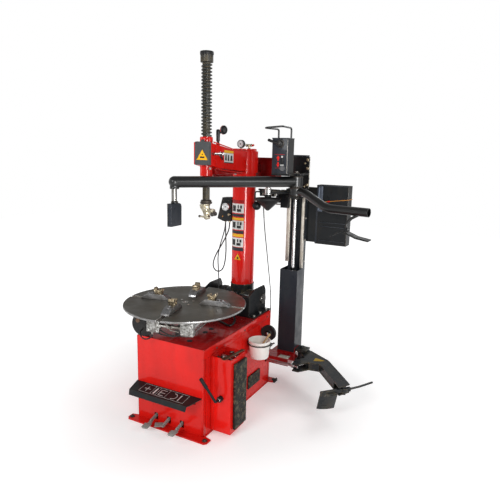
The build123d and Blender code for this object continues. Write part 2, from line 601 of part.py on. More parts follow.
with BuildPart() as mast:
    block(MAST_X0, MAST_X1, MAST_Y0, MAST_Y1, 216, MAST_JOIN)
    block(MAST_X0 + 4, MAST_X1 - 4, MAST_Y0 + 4, MAST_Y1 - 4, 221, MAST_JOIN + 1,
          mode=Mode.SUBTRACT)
    block(282, MAST_X1, 640, MAST_Y1, 221, MAST_TOP)        # channel open to the front
    block(289, 387, 647, 692, 221, MAST_TOP + 1, mode=Mode.SUBTRACT)
    block(303, 373, 639, 648, 221, MAST_TOP + 1, mode=Mode.SUBTRACT)
keep(mast, "mast")

with BuildPart() as lift_cylinder:
    post(*LIFT, 221, 832, 20)
    post(*LIFT, 231, 822, 16, mode=Mode.SUBTRACT)
    post(*LIFT, 820, 833, 12.5 + RUN, mode=Mode.SUBTRACT)
keep(lift_cylinder, "lift_cylinder")

PLATE_Y0, PLATE_Y1, PLATE_Z0, PLATE_Z1 = 622, 636, 1440, 1660
with BuildPart() as lift_rods:
    post(*LIFT, 660, PLATE_Z0 - 20, 12.5)
    post(*LIFT, 645, 660, 16 - RUN)
    block(284, 298, 598, 612, 902, PLATE_Z0 - 20)           # guide bar
keep(lift_rods, "lift_rods")

with BuildPart() as carriage:
    block(280, 425, PLATE_Y0, PLATE_Y1, PLATE_Z0, PLATE_Z1)
    block(306, 370, PLATE_Y1, 650, 1455, 1650)              # neck into the channel
    block(292, 384, 650, 689, 1455, 1650)
    block(284, 360, 590, PLATE_Y1, PLATE_Z0 - 20, PLATE_Z0)  # foot that holds the rods
    for z in (1380, 1535):                                  # ears of the helper pin
        block(365, 420, 500, PLATE_Y1, z, z + 12)
        block(365, 437, 430, 505, z, z + 12)
    block(365, 420, 600, PLATE_Y1, 1380, PLATE_Z0)
    for z in (1382, 1428):                                  # ears of the cone arm pin
        block(300, 366, 520, 600, z, z + 10)
    block(300, 366, 585, 601, 1382, PLATE_Z0)
    block(243, 303, 556, 582, 1297, 1425)                   # rest block beside the cone arm
    prism(Plane.XZ.offset(-560), [(245, 1424), (203, 1376), (203, 1330), (245, 1330)], -10)
    block(280, 410, 310, PLATE_Y0 + 1, 1535, 1547)          # shelf under the control box
    post(*HELPER_PIN, 1374, 1535, HELPER_PIN_R)
    post(*CONE_PIN, 1376, 1440, 12)
    post(*LIFT, PLATE_Z0 - 21, PLATE_Z0 - 20, 13, mode=Mode.SUBTRACT)
keep(carriage, "carriage")

with BuildPart() as rear_box:
    block(300, 462, MAST_Y1, MAST_Y1 + 12, 1046, 1446)
    block(462, 698, MAST_Y1, MAST_Y1 + 86, 1036, 1464)
    block(466, 694, MAST_Y1 + 4, MAST_Y1 + 82, 1040, 1465, mode=Mode.SUBTRACT)
keep(rear_box, "rear_box")

# ---- helper arms ---------------------------------------------------------------------------
MAIN_LOW, MAIN_HIGH = 1456, 1530
with BuildPart() as main_arm:
    post(*HELPER_PIN, MAIN_LOW, MAIN_HIGH, 44)
    tapered_bar((*HELPER_PIN, 1493), (*PRESSER, 1501), 36.5, 34)
    with Locations((*PRESSER, 1501)):                       # closed, domed end
        Sphere(34)
        Sphere(30, mode=Mode.SUBTRACT)
    bar((*HELPER_PIN, 1493), (*PRESSER, 1501), 30, mode=Mode.SUBTRACT)
    post(*HELPER_PIN, MAIN_LOW, MAIN_HIGH, 44)
    post(*PRESSER, 1462, 1501, 27)                          # socket of the presser's shaft
    post(*PRESSER, 1469, 1480, 23, mode=Mode.SUBTRACT)
    post(*PRESSER, 1461, 1470, 14 + RUN, mode=Mode.SUBTRACT)
    post(*HELPER_PIN, MAIN_LOW - 9, MAIN_HIGH + 9, HELPER_PIN_R + RUN, mode=Mode.SUBTRACT)
keep(main_arm, "main_arm")

with BuildPart() as bead_presser:
    px, py = PRESSER
    post(px, py, 1370, 1478, 14)
    post(px, py, 1470, 1478, 22)
    block(px - 14, px + 14, py - 52, py + 52, 1240, 1376)
    fillet(bead_presser.edges().filter_by(Axis.X).group_by(Axis.Z)[-1].sort_by(Axis.Y)[-1], 20)
keep(bead_presser, "bead_presser")

with BuildPart() as cone_arm:
    post(*CONE_PIN, 1393, 1427, 24)
    post(*CONE_AT, 1396, 1436, 24)
    with BuildSketch(Plane.XY.offset(1402)):
        with Locations(Location(((CONE_PIN[0] + CONE_AT[0]) / 2, (CONE_PIN[1] + CONE_AT[1]) / 2, 0),
                                (0, 0, 45))):
            Rectangle(177, 36)
    extrude(amount=16)
    bent_bar([(104, 425, 1322), (104, 425, 1412), (200, 425, 1412)], [14], 5)
    with Locations((118, 425, 1312)):                       # rounded shoe beside the cone
        Sphere(31)
    post(*CONE_PIN, 1390, 1430, 12 + RUN, mode=Mode.SUBTRACT)
    post(*CONE_AT, 1390, 1440, 12 + RUN, mode=Mode.SUBTRACT)
keep(cone_arm, "cone_arm")

with BuildPart() as press_cone:
    with BuildSketch(Plane.XZ):
        with BuildLine():
            Polyline((0, 1284), (9, 1285), (86, 1356), (90, 1362), (90, 1372),
                     (30, 1376), (20, 1395), (12, 1395), (12, 1436.5), (17, 1436.5), (17, 1446),
                     (0, 1446), close=True)
        make_face()
    revolve(axis=Axis.Z)
press_cone.part.position = (*CONE_AT, 0)
keep(press_cone, "press_cone")

TUBE_END = (953, 300, 1336)
with BuildPart() as helper_arm:
    post(*HELPER_PIN, 1396, 1452, 42)
    bent_bar([(*HELPER_PIN, 1424), (475, 428, 1424), (665, 350, 1338), TUBE_END], [150, 200], 28,
             bore=24)
    post(*HELPER_PIN, 1396, 1452, 42)
    bent_bar([(892, 311, 1320), (842, 315, 1292), (816, 315, 1262), (812, 315, 1232)], [30, 30], 9)
    bar_y(ROCKER[0], ROCKER[2], 301, 329, 12)               # clevis of the lifting plate
    bar_y(ROCKER[0], ROCKER[2], 300, 330, 6 + RUN, mode=Mode.SUBTRACT)
    post(*HELPER_PIN, 1390, 1460, HELPER_PIN_R + RUN, mode=Mode.SUBTRACT)
keep(helper_arm, "helper_arm")

with BuildPart() as lifting_plate:
    bar_y(ROCKER[0], ROCKER[2], 288, 342, 6)
    for y in (289, 333):
        prism(Plane.XZ.offset(-y - 8), [(800, 1190), (824, 1190), (818, 1230), (806, 1230)], 8)
    crown = [(716, 1166), (776, 1198), (812, 1198), (880, 1170), (960, 1158), (966, 1160),
             (966, 1166), (884, 1180), (818, 1206), (772, 1206), (714, 1174)]
    prism(Plane.XZ.offset(-350), crown, 70)
keep(lifting_plate, "lifting_plate")

with BuildPart() as control_box:
    block(280, 396, 310, 412, 1547, 1778)
    fillet(control_box.edges().filter_by(Axis.Z), 6)
    block(283, 393, 313, 409, 1550, 1775, mode=Mode.SUBTRACT)
    bent_bar([(298, 370, 1776), (298, 370, 1836), (286, 180, 1836), (388, 232, 1848),
              (389, 370, 1844), (389, 370, 1776)], [16, 12, 24, 18], 6)
keep(control_box, "control_box")

with BuildPart() as control_lever:
    bar_y(341, 1742, 288, 310 - GAP, 22)
    bent_bar([(341, 296, 1742), (292, 290, 1754), (266, 284, 1764)], [60], 7)
keep(control_lever, "control_lever")
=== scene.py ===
"""A garage tire changer with a helper mast, dressed around its CAD frame. Metres, +Z up."""

import math
import random

import bmesh
import bpy
from mathutils import Matrix, Vector


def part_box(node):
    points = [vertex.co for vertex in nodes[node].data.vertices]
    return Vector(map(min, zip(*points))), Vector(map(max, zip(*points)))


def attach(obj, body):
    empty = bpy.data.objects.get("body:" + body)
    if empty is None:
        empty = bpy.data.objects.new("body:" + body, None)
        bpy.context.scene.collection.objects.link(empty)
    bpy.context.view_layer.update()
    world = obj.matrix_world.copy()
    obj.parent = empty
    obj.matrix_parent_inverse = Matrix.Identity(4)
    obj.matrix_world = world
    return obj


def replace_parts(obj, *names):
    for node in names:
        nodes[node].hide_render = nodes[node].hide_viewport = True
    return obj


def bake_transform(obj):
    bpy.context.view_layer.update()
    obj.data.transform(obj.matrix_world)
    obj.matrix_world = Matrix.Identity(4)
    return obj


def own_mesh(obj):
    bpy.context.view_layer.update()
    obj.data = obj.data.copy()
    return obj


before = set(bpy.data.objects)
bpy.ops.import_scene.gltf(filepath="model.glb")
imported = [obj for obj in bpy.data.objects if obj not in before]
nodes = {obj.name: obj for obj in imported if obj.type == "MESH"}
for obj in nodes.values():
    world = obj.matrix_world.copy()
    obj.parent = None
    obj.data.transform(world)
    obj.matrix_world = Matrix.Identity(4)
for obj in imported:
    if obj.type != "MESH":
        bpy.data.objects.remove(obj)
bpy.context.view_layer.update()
draw = random.Random(7)

X, Y, Z = Vector((1, 0, 0)), Vector((0, 1, 0)), Vector((0, 0, 1))
TAU = 2 * math.pi

# ---- places that the frame gives -----------------------------------------------------------
cab_low, cab_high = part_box("cabinet_shell")
plate_low, plate_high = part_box("turntable_plate")
TABLE = Vector((0, (plate_low.y + plate_high.y) / 2, plate_high.z))
TABLE_TURN = math.radians(12)                               # how far the slots are turned


# ---- materials -----------------------------------------------------------------------------
class Surface:
    """A procedural material whose look comes from noise in the object's own coordinates."""

    def __init__(self, name, roughness, metallic=0.0, coat=0.0, specular=0.5, coat_rough=0.08):
        self.material = bpy.data.materials.new(name)
        self.material.use_nodes = True
        self.tree = self.material.node_tree
        self.shader = self.tree.nodes["Principled BSDF"]
        self.shader.inputs["Metallic"].default_value = metallic
        self.shader.inputs["Roughness"].default_value = roughness
        self.shader.inputs["Coat Weight"].default_value = coat
        self.shader.inputs["Coat Roughness"].default_value = coat_rough
        self.shader.inputs["Specular IOR Level"].default_value = specular
        self.place = self.tree.nodes.new("ShaderNodeTexCoord").outputs["Object"]

    def node(self, kind, **inputs):
        made = self.tree.nodes.new(kind)
        for key, value in inputs.items():
            socket = made.inputs[key.replace("_", " ")]
            if isinstance(value, bpy.types.NodeSocket):
                self.tree.links.new(value, socket)
            else:
                socket.default_value = value
        return made

    def noise(self, scale, detail=4.0, stretch=None, place=None):
        place = place or self.place
        if stretch:
            mapping = self.node("ShaderNodeMapping", Vector=place, Scale=stretch)
            place = mapping.outputs["Vector"]
        made = self.node("ShaderNodeTexNoise", Vector=place, Scale=scale, Detail=detail)
        return made.outputs["Fac"]

    def ramp(self, value, start, end, low=0.0, high=1.0):
        made = self.node("ShaderNodeMapRange", Value=value)
        made.inputs["From Min"].default_value = start
        made.inputs["From Max"].default_value = end
        made.inputs["To Min"].default_value = low
        made.inputs["To Max"].default_value = high
        return made.outputs["Result"]

    def math(self, operation, first, second=0.0):
        made = self.tree.nodes.new("ShaderNodeMath")
        made.operation = operation
        for socket, value in zip(made.inputs, (first, second)):
            if isinstance(value, bpy.types.NodeSocket):
                self.tree.links.new(value, socket)
            else:
                socket.default_value = value
        return made.outputs["Value"]

    def mix(self, share, first, second):
        made = self.tree.nodes.new("ShaderNodeMix")
        made.data_type = "RGBA"
        for socket, value in ((made.inputs[0], share), (made.inputs[6], first),
                              (made.inputs[7], second)):
            if isinstance(value, bpy.types.NodeSocket):
                self.tree.links.new(value, socket)
            elif isinstance(value, tuple):
                socket.default_value = (*value, 1)
            else:
                socket.default_value = value
        return made.outputs[2]

    def edges(self, radius):
        """0 on a flat face, up to 1 along a sharp outer or inner edge."""
        soft = self.tree.nodes.new("ShaderNodeBevel")
        soft.samples = 4
        soft.inputs["Radius"].default_value = radius
        true = self.tree.nodes.new("ShaderNodeNewGeometry")
        dot = self.tree.nodes.new("ShaderNodeVectorMath")
        dot.operation = "DOT_PRODUCT"
        self.tree.links.new(soft.outputs["Normal"], dot.inputs[0])
        self.tree.links.new(true.outputs["Normal"], dot.inputs[1])
        return self.ramp(dot.outputs["Value"], 0.995, 0.8), soft.outputs["Normal"]

    def bump(self, height, strength, distance, normal=None):
        made = self.node("ShaderNodeBump", Height=height, Strength=strength, Distance=distance)
        if normal:
            self.tree.links.new(normal, made.inputs["Normal"])
        return made.outputs["Normal"]

    def set(self, **sockets):
        for key, value in sockets.items():
            self.tree.links.new(value, self.shader.inputs[key.replace("_", " ")])
        return self.material


def worn_paint(name, base, worn, rough=0.32, coat=0.3, wear=0.5, dirt=(0.06, 0.045, 0.03),
               dirt_share=0.25, radius=0.004, specular=0.12, spread=0.2, coat_rough=0.08):
    """Sprayed paint with faded patches, scuffed edges, smears and a fine orange peel."""
    surface = Surface(name, rough, coat=coat, specular=specular, coat_rough=coat_rough)
    broad = surface.noise(3.2, 3.0)
    fine = surface.noise(34.0, 6.0)
    shade = surface.mix(surface.ramp(broad, 0.35, 0.7), tuple(c * 0.86 for c in base),
                        tuple(min(1.0, c * 1.12) for c in base))
    smears = surface.ramp(surface.noise(11.0, 8.0, (1.0, 1.0, 0.35)), 0.52, 0.72, 0.0, dirt_share)
    dirty = surface.mix(smears, shade, dirt)
    edge, rounded = surface.edges(radius)
    rubbed = surface.math("MULTIPLY", edge, surface.ramp(fine, 0.42, 0.62, 0.0, wear))
    surface.set(Base_Color=surface.mix(rubbed, dirty, worn))
    patches = surface.ramp(surface.noise(17.0, 7.0), 0.3, 0.75, max(0.05, rough - spread / 2),
                           rough + spread)
    peel = surface.bump(surface.noise(260.0, 2.0), 0.35, 0.0002, rounded)
    return surface.set(Roughness=patches, Normal=peel)


def bare_metal(name, base, dull, rough=0.34, scale=9.0, patch=0.7, grain=220.0, relief=0.4):
    """Bare metal with darker oxidised patches, fine scratches and brighter rubbed edges."""
    surface = Surface(name, rough, metallic=1.0)
    broad = surface.noise(scale, 6.0)
    fine = surface.noise(grain, 3.0)
    edge, rounded = surface.edges(0.003)
    tone = surface.mix(surface.ramp(broad, 0.38, 0.62, 0.0, patch), base, dull)
    bright = tuple(min(1.0, c * 1.35) for c in base)
    tone = surface.mix(surface.math("MULTIPLY", edge, surface.ramp(fine, 0.35, 0.6, 0.0, 0.8)), tone, bright)
    surface.set(Base_Color=tone, Normal=surface.bump(fine, relief, 0.0003, rounded))
    return surface.set(Roughness=surface.ramp(broad, 0.3, 0.7, max(0.08, rough - 0.12), rough + 0.2))


def turned_steel(name, base, dull):
    """The turntable's faced disc: rings from the lathe, brown smears and rubbed bright patches."""
    surface = Surface(name, 0.36, metallic=1.0)
    split = surface.node("ShaderNodeSeparateXYZ", Vector=surface.place)
    across = surface.math("SUBTRACT", split.outputs["X"], TABLE.x)
    along = surface.math("SUBTRACT", split.outputs["Y"], TABLE.y)
    reach = surface.math("SQRT", surface.math("ADD", surface.math("MULTIPLY", across, across),
                                              surface.math("MULTIPLY", along, along)))
    ring_place = surface.node("ShaderNodeCombineXYZ", X=reach, Y=0.0, Z=0.0).outputs["Vector"]
    rings = surface.noise(300.0, 4.0, place=ring_place)
    broad = surface.noise(5.0, 8.0)
    smear = surface.noise(21.0, 8.0)
    tone = surface.mix(surface.ramp(broad, 0.36, 0.66), base, dull)
    tone = surface.mix(surface.ramp(smear, 0.55, 0.75, 0.0, 0.5), tone, (0.075, 0.05, 0.032))
    tone = surface.mix(surface.ramp(rings, 0.3, 0.7, 0.0, 0.16), tone, (0.26, 0.25, 0.23))
    edge, rounded = surface.edges(0.004)
    tone = surface.mix(edge, tone, (0.62, 0.61, 0.6))
    surface.set(Base_Color=tone, Normal=surface.bump(rings, 0.25, 0.0002, rounded))
    return surface.set(Roughness=surface.ramp(surface.noise(8.0, 6.0), 0.3, 0.7, 0.3, 0.55))


def moulded(name, base, rough=0.5, grain=420.0, depth=0.0003, smudge=(0.09, 0.08, 0.07), share=0.3,
            spots=8.0):
    """Moulded plastic or rubber with a fine grain, paler scuffs and dust."""
    surface = Surface(name, rough, specular=0.2)
    dust = surface.ramp(surface.noise(spots, 7.0), 0.48, 0.75, 0.0, share)
    edge, rounded = surface.edges(0.003)
    pale = tuple(min(1.0, c * 1.7 + 0.02) for c in base)
    tone = surface.mix(surface.math("MULTIPLY", edge, 0.45), surface.mix(dust, base, smudge), pale)
    surface.set(Base_Color=tone, Normal=surface.bump(surface.noise(grain, 3.0), 0.5, depth, rounded))
    return surface.set(Roughness=surface.ramp(surface.noise(23.0, 5.0), 0.3, 0.7, rough - 0.1, rough + 0.15))


BLACK = (0.012, 0.014, 0.016)
RED = (0.66, 0.0095, 0.006)
OLIVE = (0.065, 0.052, 0.028)
red_paint = worn_paint("red_paint", RED, (0.26, 0.03, 0.02), rough=0.3, coat=0.45, wear=0.35, specular=0.05,
                       dirt=(0.24, 0.01, 0.008), dirt_share=0.22)
# Darker copy of the red paint, painted shade: used for red faces that lie in shade (the cabinet top sheet,
# rear tray, mast frame, the plate under the arm), and also for the tray liner and the column's dark red
# notice band.
dark_red_and_painted_shade = worn_paint("dark_red_and_painted_shade", (0.32, 0.008, 0.008), (0.1, 0.02, 0.02), rough=0.2,
                            coat=0.6, dirt=(0.07, 0.01, 0.01), dirt_share=0.6)
black_paint = worn_paint("black_paint", (0.009, 0.0105, 0.012), (0.16, 0.14, 0.1), rough=0.36,
                         coat=0.15, wear=0.7)
greasy_paint = worn_paint("greasy_black_paint", BLACK, (0.22, 0.17, 0.09), rough=0.3, coat=0.3, wear=0.9,
                          radius=0.006, dirt=OLIVE, dirt_share=0.45)
gloss_black = worn_paint("gloss_black_paint", (0.005, 0.0055, 0.006), (0.1, 0.085, 0.06), rough=0.34,
                         coat=0.7, specular=0.08, spread=0.08, coat_rough=0.3, wear=0.3,
                         dirt=(0.018, 0.017, 0.014), dirt_share=0.3)
slate_paint = worn_paint("slate_paint", (0.024, 0.028, 0.036), (0.2, 0.2, 0.2), rough=0.34, coat=0.15,
                         wear=0.5, dirt=(0.05, 0.05, 0.05))
grey_paint = worn_paint("grey_paint", (0.42, 0.43, 0.44), (0.7, 0.68, 0.62), rough=0.35, wear=0.6)
pedal_grey = worn_paint("pedal_grey", (0.27, 0.265, 0.25), (0.5, 0.48, 0.44), rough=0.4, coat=0.0,
                        dirt=(0.1, 0.085, 0.07), dirt_share=0.6)
yellow_paint = worn_paint("yellow_paint", (0.8, 0.42, 0.01), (0.2, 0.12, 0.02), rough=0.4, wear=0.6)
panel_paint = worn_paint("panel_paint", (0.66, 0.66, 0.64), (0.3, 0.3, 0.28), rough=0.4, coat=0.1)
steel = bare_metal("worn_steel", (0.34, 0.33, 0.31), (0.11, 0.09, 0.07))
dark_steel = bare_metal("dark_steel", (0.085, 0.08, 0.075), (0.04, 0.03, 0.022), rough=0.45)
spindle_steel = bare_metal("spindle_steel", (0.045, 0.045, 0.043), (0.075, 0.062, 0.04), rough=0.42,
                           scale=38.0)
rusty_steel = bare_metal("rusty_steel", (0.17, 0.12, 0.09), (0.09, 0.04, 0.02), rough=0.6, patch=1.0)
bright_steel = bare_metal("bright_steel", (0.5, 0.5, 0.49), (0.24, 0.22, 0.2), rough=0.26, patch=0.55)
chrome = bare_metal("hard_chrome", (0.44, 0.44, 0.45), (0.26, 0.25, 0.24), rough=0.16, patch=0.3,
                    relief=0.03)
brass = bare_metal("worn_brass", (0.42, 0.35, 0.24), (0.14, 0.105, 0.065), rough=0.36, patch=0.95,
                   scale=60.0)
pale_brass = bare_metal("pale_brass", (0.6, 0.55, 0.43), (0.22, 0.185, 0.125), rough=0.34, patch=0.9,
                        scale=60.0)
cast_aluminium = bare_metal("cast_aluminium", (0.4, 0.4, 0.385), (0.12, 0.11, 0.1), rough=0.5, scale=70.0,
                            patch=0.95)
cast_iron = bare_metal("cast_iron", (0.16, 0.16, 0.16), (0.06, 0.05, 0.045), rough=0.6, grain=150.0)
disc_steel = turned_steel("turntable_steel", (0.145, 0.138, 0.118), (0.098, 0.088, 0.07))
clean_rubber = moulded("clean_black_rubber", (0.008, 0.008, 0.009), rough=0.45, smudge=(0.03, 0.028, 0.024))
rubber = moulded("black_rubber", (0.012, 0.012, 0.013), rough=0.55)
hose_rubber = moulded("hose_rubber", (0.014, 0.014, 0.015), rough=0.42, grain=900.0, depth=0.0001)
black_plastic = moulded("black_plastic", (0.014, 0.014, 0.016), rough=0.4)
white_plastic = moulded("white_plastic", (0.86, 0.84, 0.8), rough=0.35, smudge=(0.5, 0.43, 0.32),
                        share=0.35)
grey_plastic = moulded("grey_plastic", (0.12, 0.12, 0.125), rough=0.4)
lock_grey = moulded("lock_box_grey", (0.06, 0.064, 0.066), rough=0.42, grain=300.0,
                    smudge=(0.1, 0.1, 0.1))
spring_steel = worn_paint("spring_wire", (0.022, 0.024, 0.022), (0.3, 0.24, 0.13), rough=0.35, wear=0.9,
                          radius=0.002, dirt=(0.16, 0.12, 0.06), dirt_share=0.8)
dial_white = moulded("dial_face", (0.62, 0.63, 0.64), rough=0.25, grain=60.0, depth=0.0001,
                     smudge=(0.5, 0.48, 0.42))
ivory_steel = bare_metal("ivory_steel", (0.6, 0.56, 0.5), (0.34, 0.3, 0.24), rough=0.42, scale=14.0)
blue_steel = bare_metal("hinge_steel", (0.11, 0.125, 0.155), (0.06, 0.07, 0.09), rough=0.45, scale=16.0)
red_mark = worn_paint("red_mark", (0.72, 0.02, 0.015), (0.3, 0.02, 0.02), rough=0.45, coat=0.0, wear=0.3)
worn_yellow = worn_paint("worn_yellow_panel", (0.42, 0.27, 0.03), (0.06, 0.05, 0.03), rough=0.5, coat=0.0,
                         dirt=(0.05, 0.045, 0.03), dirt_share=0.95, wear=0.9)
pad_rubber = moulded("pad_rubber", (0.011, 0.012, 0.01), rough=0.55, grain=70.0, depth=0.0016,
                     smudge=(0.17, 0.145, 0.085), share=0.9, spots=46.0)
slide_steel = bare_metal("slide_steel", (0.27, 0.27, 0.275), (0.095, 0.085, 0.075), rough=0.36, scale=26.0)
paste_cream = moulded("paste_cream", (0.62, 0.56, 0.42), rough=0.3, grain=90.0, depth=0.002)
grime_brown = moulded("bucket_grime", (0.2, 0.17, 0.12), rough=0.6, grain=120.0,
                      smudge=(0.45, 0.42, 0.36), share=0.8, spots=60.0)
wood = moulded("brush_wood", (0.5, 0.33, 0.16), rough=0.55, grain=160.0, smudge=(0.25, 0.16, 0.08))
orange_cord = moulded("orange_cord", (0.55, 0.22, 0.03), rough=0.7, grain=1200.0)

finishes = {
    red_paint: "base_plate cabinet_shell column_tube column_arm side_box",
    # the rear tray and mast frame take the darker red: painted shade on red parts that sit in shade
    dark_red_and_painted_shade: "rear_tray mast_frame",
    black_paint: "front_visor column_bracket rear_box carriage side_holders side_lever "
                 "lifting_plate cone_arm",
    slate_paint: "mast",
    greasy_paint: "bead_arm bead_blade",
    gloss_black: "main_arm helper_arm control_box",
    grey_paint: "lock_box",
    pedal_grey: "pedal_left pedal_middle pedal_right",
    steel: "turntable_shaft worm_shaft frame_fasteners mount_head return_spring",
    spindle_steel: "hex_spindle",
    brass: "jaw_1 jaw_2 jaw_3 jaw_4 pressure_gauges",
    chrome: "tilt_rod bead_rod lift_rods",
    disc_steel: "turntable_plate",
    cast_iron: "gearbox_housing",
    cast_aluminium: "drive_motor motor_pulley clamp_cylinders tilt_cylinder bead_cylinder lift_cylinder",
    rubber: "bead_pads drive_belt bead_presser press_cone",
    hose_rubber: "clamp_hose inflation_hose supply_hose air_line",
    black_plastic: "gauge_box lock_joystick release_lever control_lever",
    white_plastic: "paste_bucket",
}
for material, names in finishes.items():
    for name in names.split():
        for place in nodes[name].material_slots:
            place.material = material


# ---- shapes --------------------------------------------------------------------------------
def across_of(axis):
    """Two directions at right angles to an axis."""
    axis = axis.normalized()
    helper = X if abs(axis.x) < 0.8 else Y
    first = axis.cross(helper).normalized()
    return first, axis.cross(first).normalized()


class Piece:
    """A mesh put together from boxes, turned shapes, rods and bolts, in frame coordinates."""

    def __init__(self, name, material, body, slot):
        self.name, self.material, self.body, self.slot = name, material, body, slot
        self.mesh = bmesh.new()

    def ring_faces(self, rings, closed=True):
        for low, high in zip(rings, rings[1:]):
            count = len(low)
            for i in range(count if closed else count - 1):
                j = (i + 1) % count
                self.mesh.faces.new((low[i], low[j], high[j], high[i]))

    def turned(self, centre, axis, profile, segments=40):
        """A solid of revolution: (radius, height along the axis) pairs from end to end."""
        centre, axis = Vector(centre), Vector(axis).normalized()
        first, second = across_of(axis)
        rings = []
        for radius, height in profile:
            ring = []
            for i in range(segments):
                turn = TAU * i / segments
                spoke = (first * math.cos(turn) + second * math.sin(turn)) * max(radius, 0.0002)
                ring.append(self.mesh.verts.new(centre + axis * height + spoke))
            rings.append(ring)
        self.ring_faces(rings)
        self.mesh.faces.new(rings[0][::-1])
        self.mesh.faces.new(rings[-1])
        return self

    def slab(self, corners, depth, bevel=0.0, steps=2):
        """A flat outline pushed along a vector, with its edges rounded."""
        depth = Vector(depth)
        low = [self.mesh.verts.new(Vector(c)) for c in corners]
        high = [self.mesh.verts.new(Vector(c) + depth) for c in corners]
        faces = [self.mesh.faces.new(low[::-1]), self.mesh.faces.new(high)]
        count = len(low)
        for i in range(count):
            j = (i + 1) % count
            faces.append(self.mesh.faces.new((low[i], low[j], high[j], high[i])))
        bmesh.ops.recalc_face_normals(self.mesh, faces=faces)
        if bevel:
            edges = list(dict.fromkeys(e for f in faces for e in f.edges))
            bmesh.ops.bevel(self.mesh, geom=edges, offset=bevel, segments=steps, affect="EDGES",
                            clamp_overlap=True, profile=0.6)
        return self

    def box(self, low, high, bevel=0.0015, steps=2):
        (x0, y0, z0), (x1, y1, z1) = low, high
        return self.slab([(x0, y0, z0), (x1, y0, z0), (x1, y1, z0), (x0, y1, z0)], (0, 0, z1 - z0), bevel,
                         steps)

    def block(self, centre, sizes, turn=0.0, bevel=0.0015, steps=2):
        """A box about its centre, turned about Z by an angle in radians."""
        centre = Vector(centre)
        half = Vector(sizes) / 2
        spin = Matrix.Rotation(turn, 3, "Z")
        corners = [centre + spin @ Vector((sx * half.x, sy * half.y, -half.z))
                   for sx, sy in ((-1, -1), (1, -1), (1, 1), (-1, 1))]
        return self.slab(corners, (0, 0, sizes[2]), bevel, steps)

    def rod(self, points, radius, sides=14, round_ends=True, taper=None):
        """A round bar along points, with mitred corners; taper gives a radius share per point."""
        points = [Vector(p) for p in points]
        ways = [(b - a).normalized() for a, b in zip(points, points[1:])]
        side, _ = across_of(ways[0])
        rings = []
        for i, point in enumerate(points):
            before, after = ways[max(i - 1, 0)], ways[min(i, len(ways) - 1)]
            mean = (before + after).normalized()
            side = (side - mean * side.dot(mean)).normalized()
            other = mean.cross(side)
            stretch = 1 / max(0.4, mean.dot(after))
            size = radius * (taper[i] if taper else 1.0)
            bend = after - before
            ring = []
            for k in range(sides):
                turn = TAU * k / sides
                spoke = side * math.cos(turn) + other * math.sin(turn)
                if bend.length > 1e-4:
                    lean = bend.normalized()
                    spoke += lean * spoke.dot(lean) * (stretch - 1)
                ring.append(self.mesh.verts.new(point + spoke * size))
            rings.append(ring)
        self.ring_faces(rings)
        for ring in (rings[0][::-1], rings[-1]):
            cap = self.mesh.faces.new(ring)
            if round_ends:
                bmesh.ops.inset_region(self.mesh, faces=[cap], thickness=radius * 0.35,
                                       depth=radius * 0.2)
        return self

    def bolt(self, seat, axis, across=0.016, washer=True):
        """A hex head on its washer, standing on a face."""
        axis = Vector(axis).normalized()
        seat = Vector(seat)
        lift = 0.0
        if washer:
            lift = across * 0.12
            self.turned(seat, axis, [(across * 0.78, 0), (across * 0.78, lift * 0.7),
                                     (across * 0.72, lift)], 24)
        top = across * 0.42 + lift
        radius = across / math.sqrt(3)
        self.turned(seat, axis, [(radius, lift), (radius, top - across * 0.08), (radius * 0.82, top)], 6)
        return self

    def done(self, smooth=True, angle=35):
        bmesh.ops.recalc_face_normals(self.mesh, faces=self.mesh.faces)
        data = bpy.data.meshes.new(self.name)
        self.mesh.to_mesh(data)
        self.mesh.free()
        made = bpy.data.objects.new(self.name, data)
        bpy.context.scene.collection.objects.link(made)
        data.materials.append(self.material)
        if smooth:
            data.shade_smooth()
            data.set_sharp_from_angle(angle=math.radians(angle))
        if self.body:
            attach(made, self.body)
        return made


# ---- cords ---------------------------------------------------------------------------------
def route_curve(name, points, radius=0.0):
    """An open NURBS curve of order 3 through a cord's control points."""
    data = bpy.data.curves.new(name, "CURVE")
    data.dimensions = "3D"
    data.bevel_depth = radius
    data.bevel_resolution = 5
    data.use_fill_caps = True
    data.resolution_u = 10
    line = data.splines.new("NURBS")
    line.points.add(len(points) - 1)
    for control, point in zip(line.points, points):
        control.co = (*point, 1)
    line.order_u = 3
    line.use_endpoint_u = True
    made = bpy.data.objects.new(name, data)
    bpy.context.scene.collection.objects.link(made)
    return made


def route_points(name, points):
    """Points read from a cord's NURBS spline."""
    curve = route_curve(name + "_line", points)
    curve.data.use_fill_caps = False
    data = bpy.data.meshes.new_from_object(curve)
    line = [vertex.co.copy() for vertex in data.vertices]
    bpy.data.objects.remove(curve)
    bpy.data.meshes.remove(data)
    return line


def turned_point(u, v, z):
    """A point on the turntable, u across and v along its slots, at rest."""
    spin = Matrix.Rotation(TABLE_TURN, 3, "Z")
    return TABLE + spin @ Vector((u, v, 0)) + Z * (z - TABLE.z)


clamp_route = [turned_point(-0.227, -0.122, 0.604), turned_point(-0.227, -0.152, 0.604),
               (-0.174, -0.5, 0.596), (-0.147, -0.519, 0.584), (-0.116, -0.526, 0.58),
               (-0.09, -0.521, 0.586), (-0.072, -0.513, 0.602), turned_point(-0.115, -0.215, 0.618),
               turned_point(-0.115, -0.215, 0.635)]
inflation_route = [(-0.105, 0.43, 1.174), (-0.105, 0.43, 1.128), (-0.132, 0.421, 1.062),
                   (-0.164, 0.411, 0.996), (-0.198, 0.403, 0.938), (-0.222, 0.399, 0.88),
                   (-0.228, 0.4, 0.832), (-0.208, 0.405, 0.8), (-0.178, 0.411, 0.796),
                   (-0.152, 0.417, 0.816), (-0.138, 0.423, 0.862), (-0.133, 0.43, 0.934),
                   (-0.137, 0.436, 1.01), (-0.144, 0.441, 1.076), (-0.148, 0.444, 1.134),
                   (-0.148, 0.444, 1.174)]
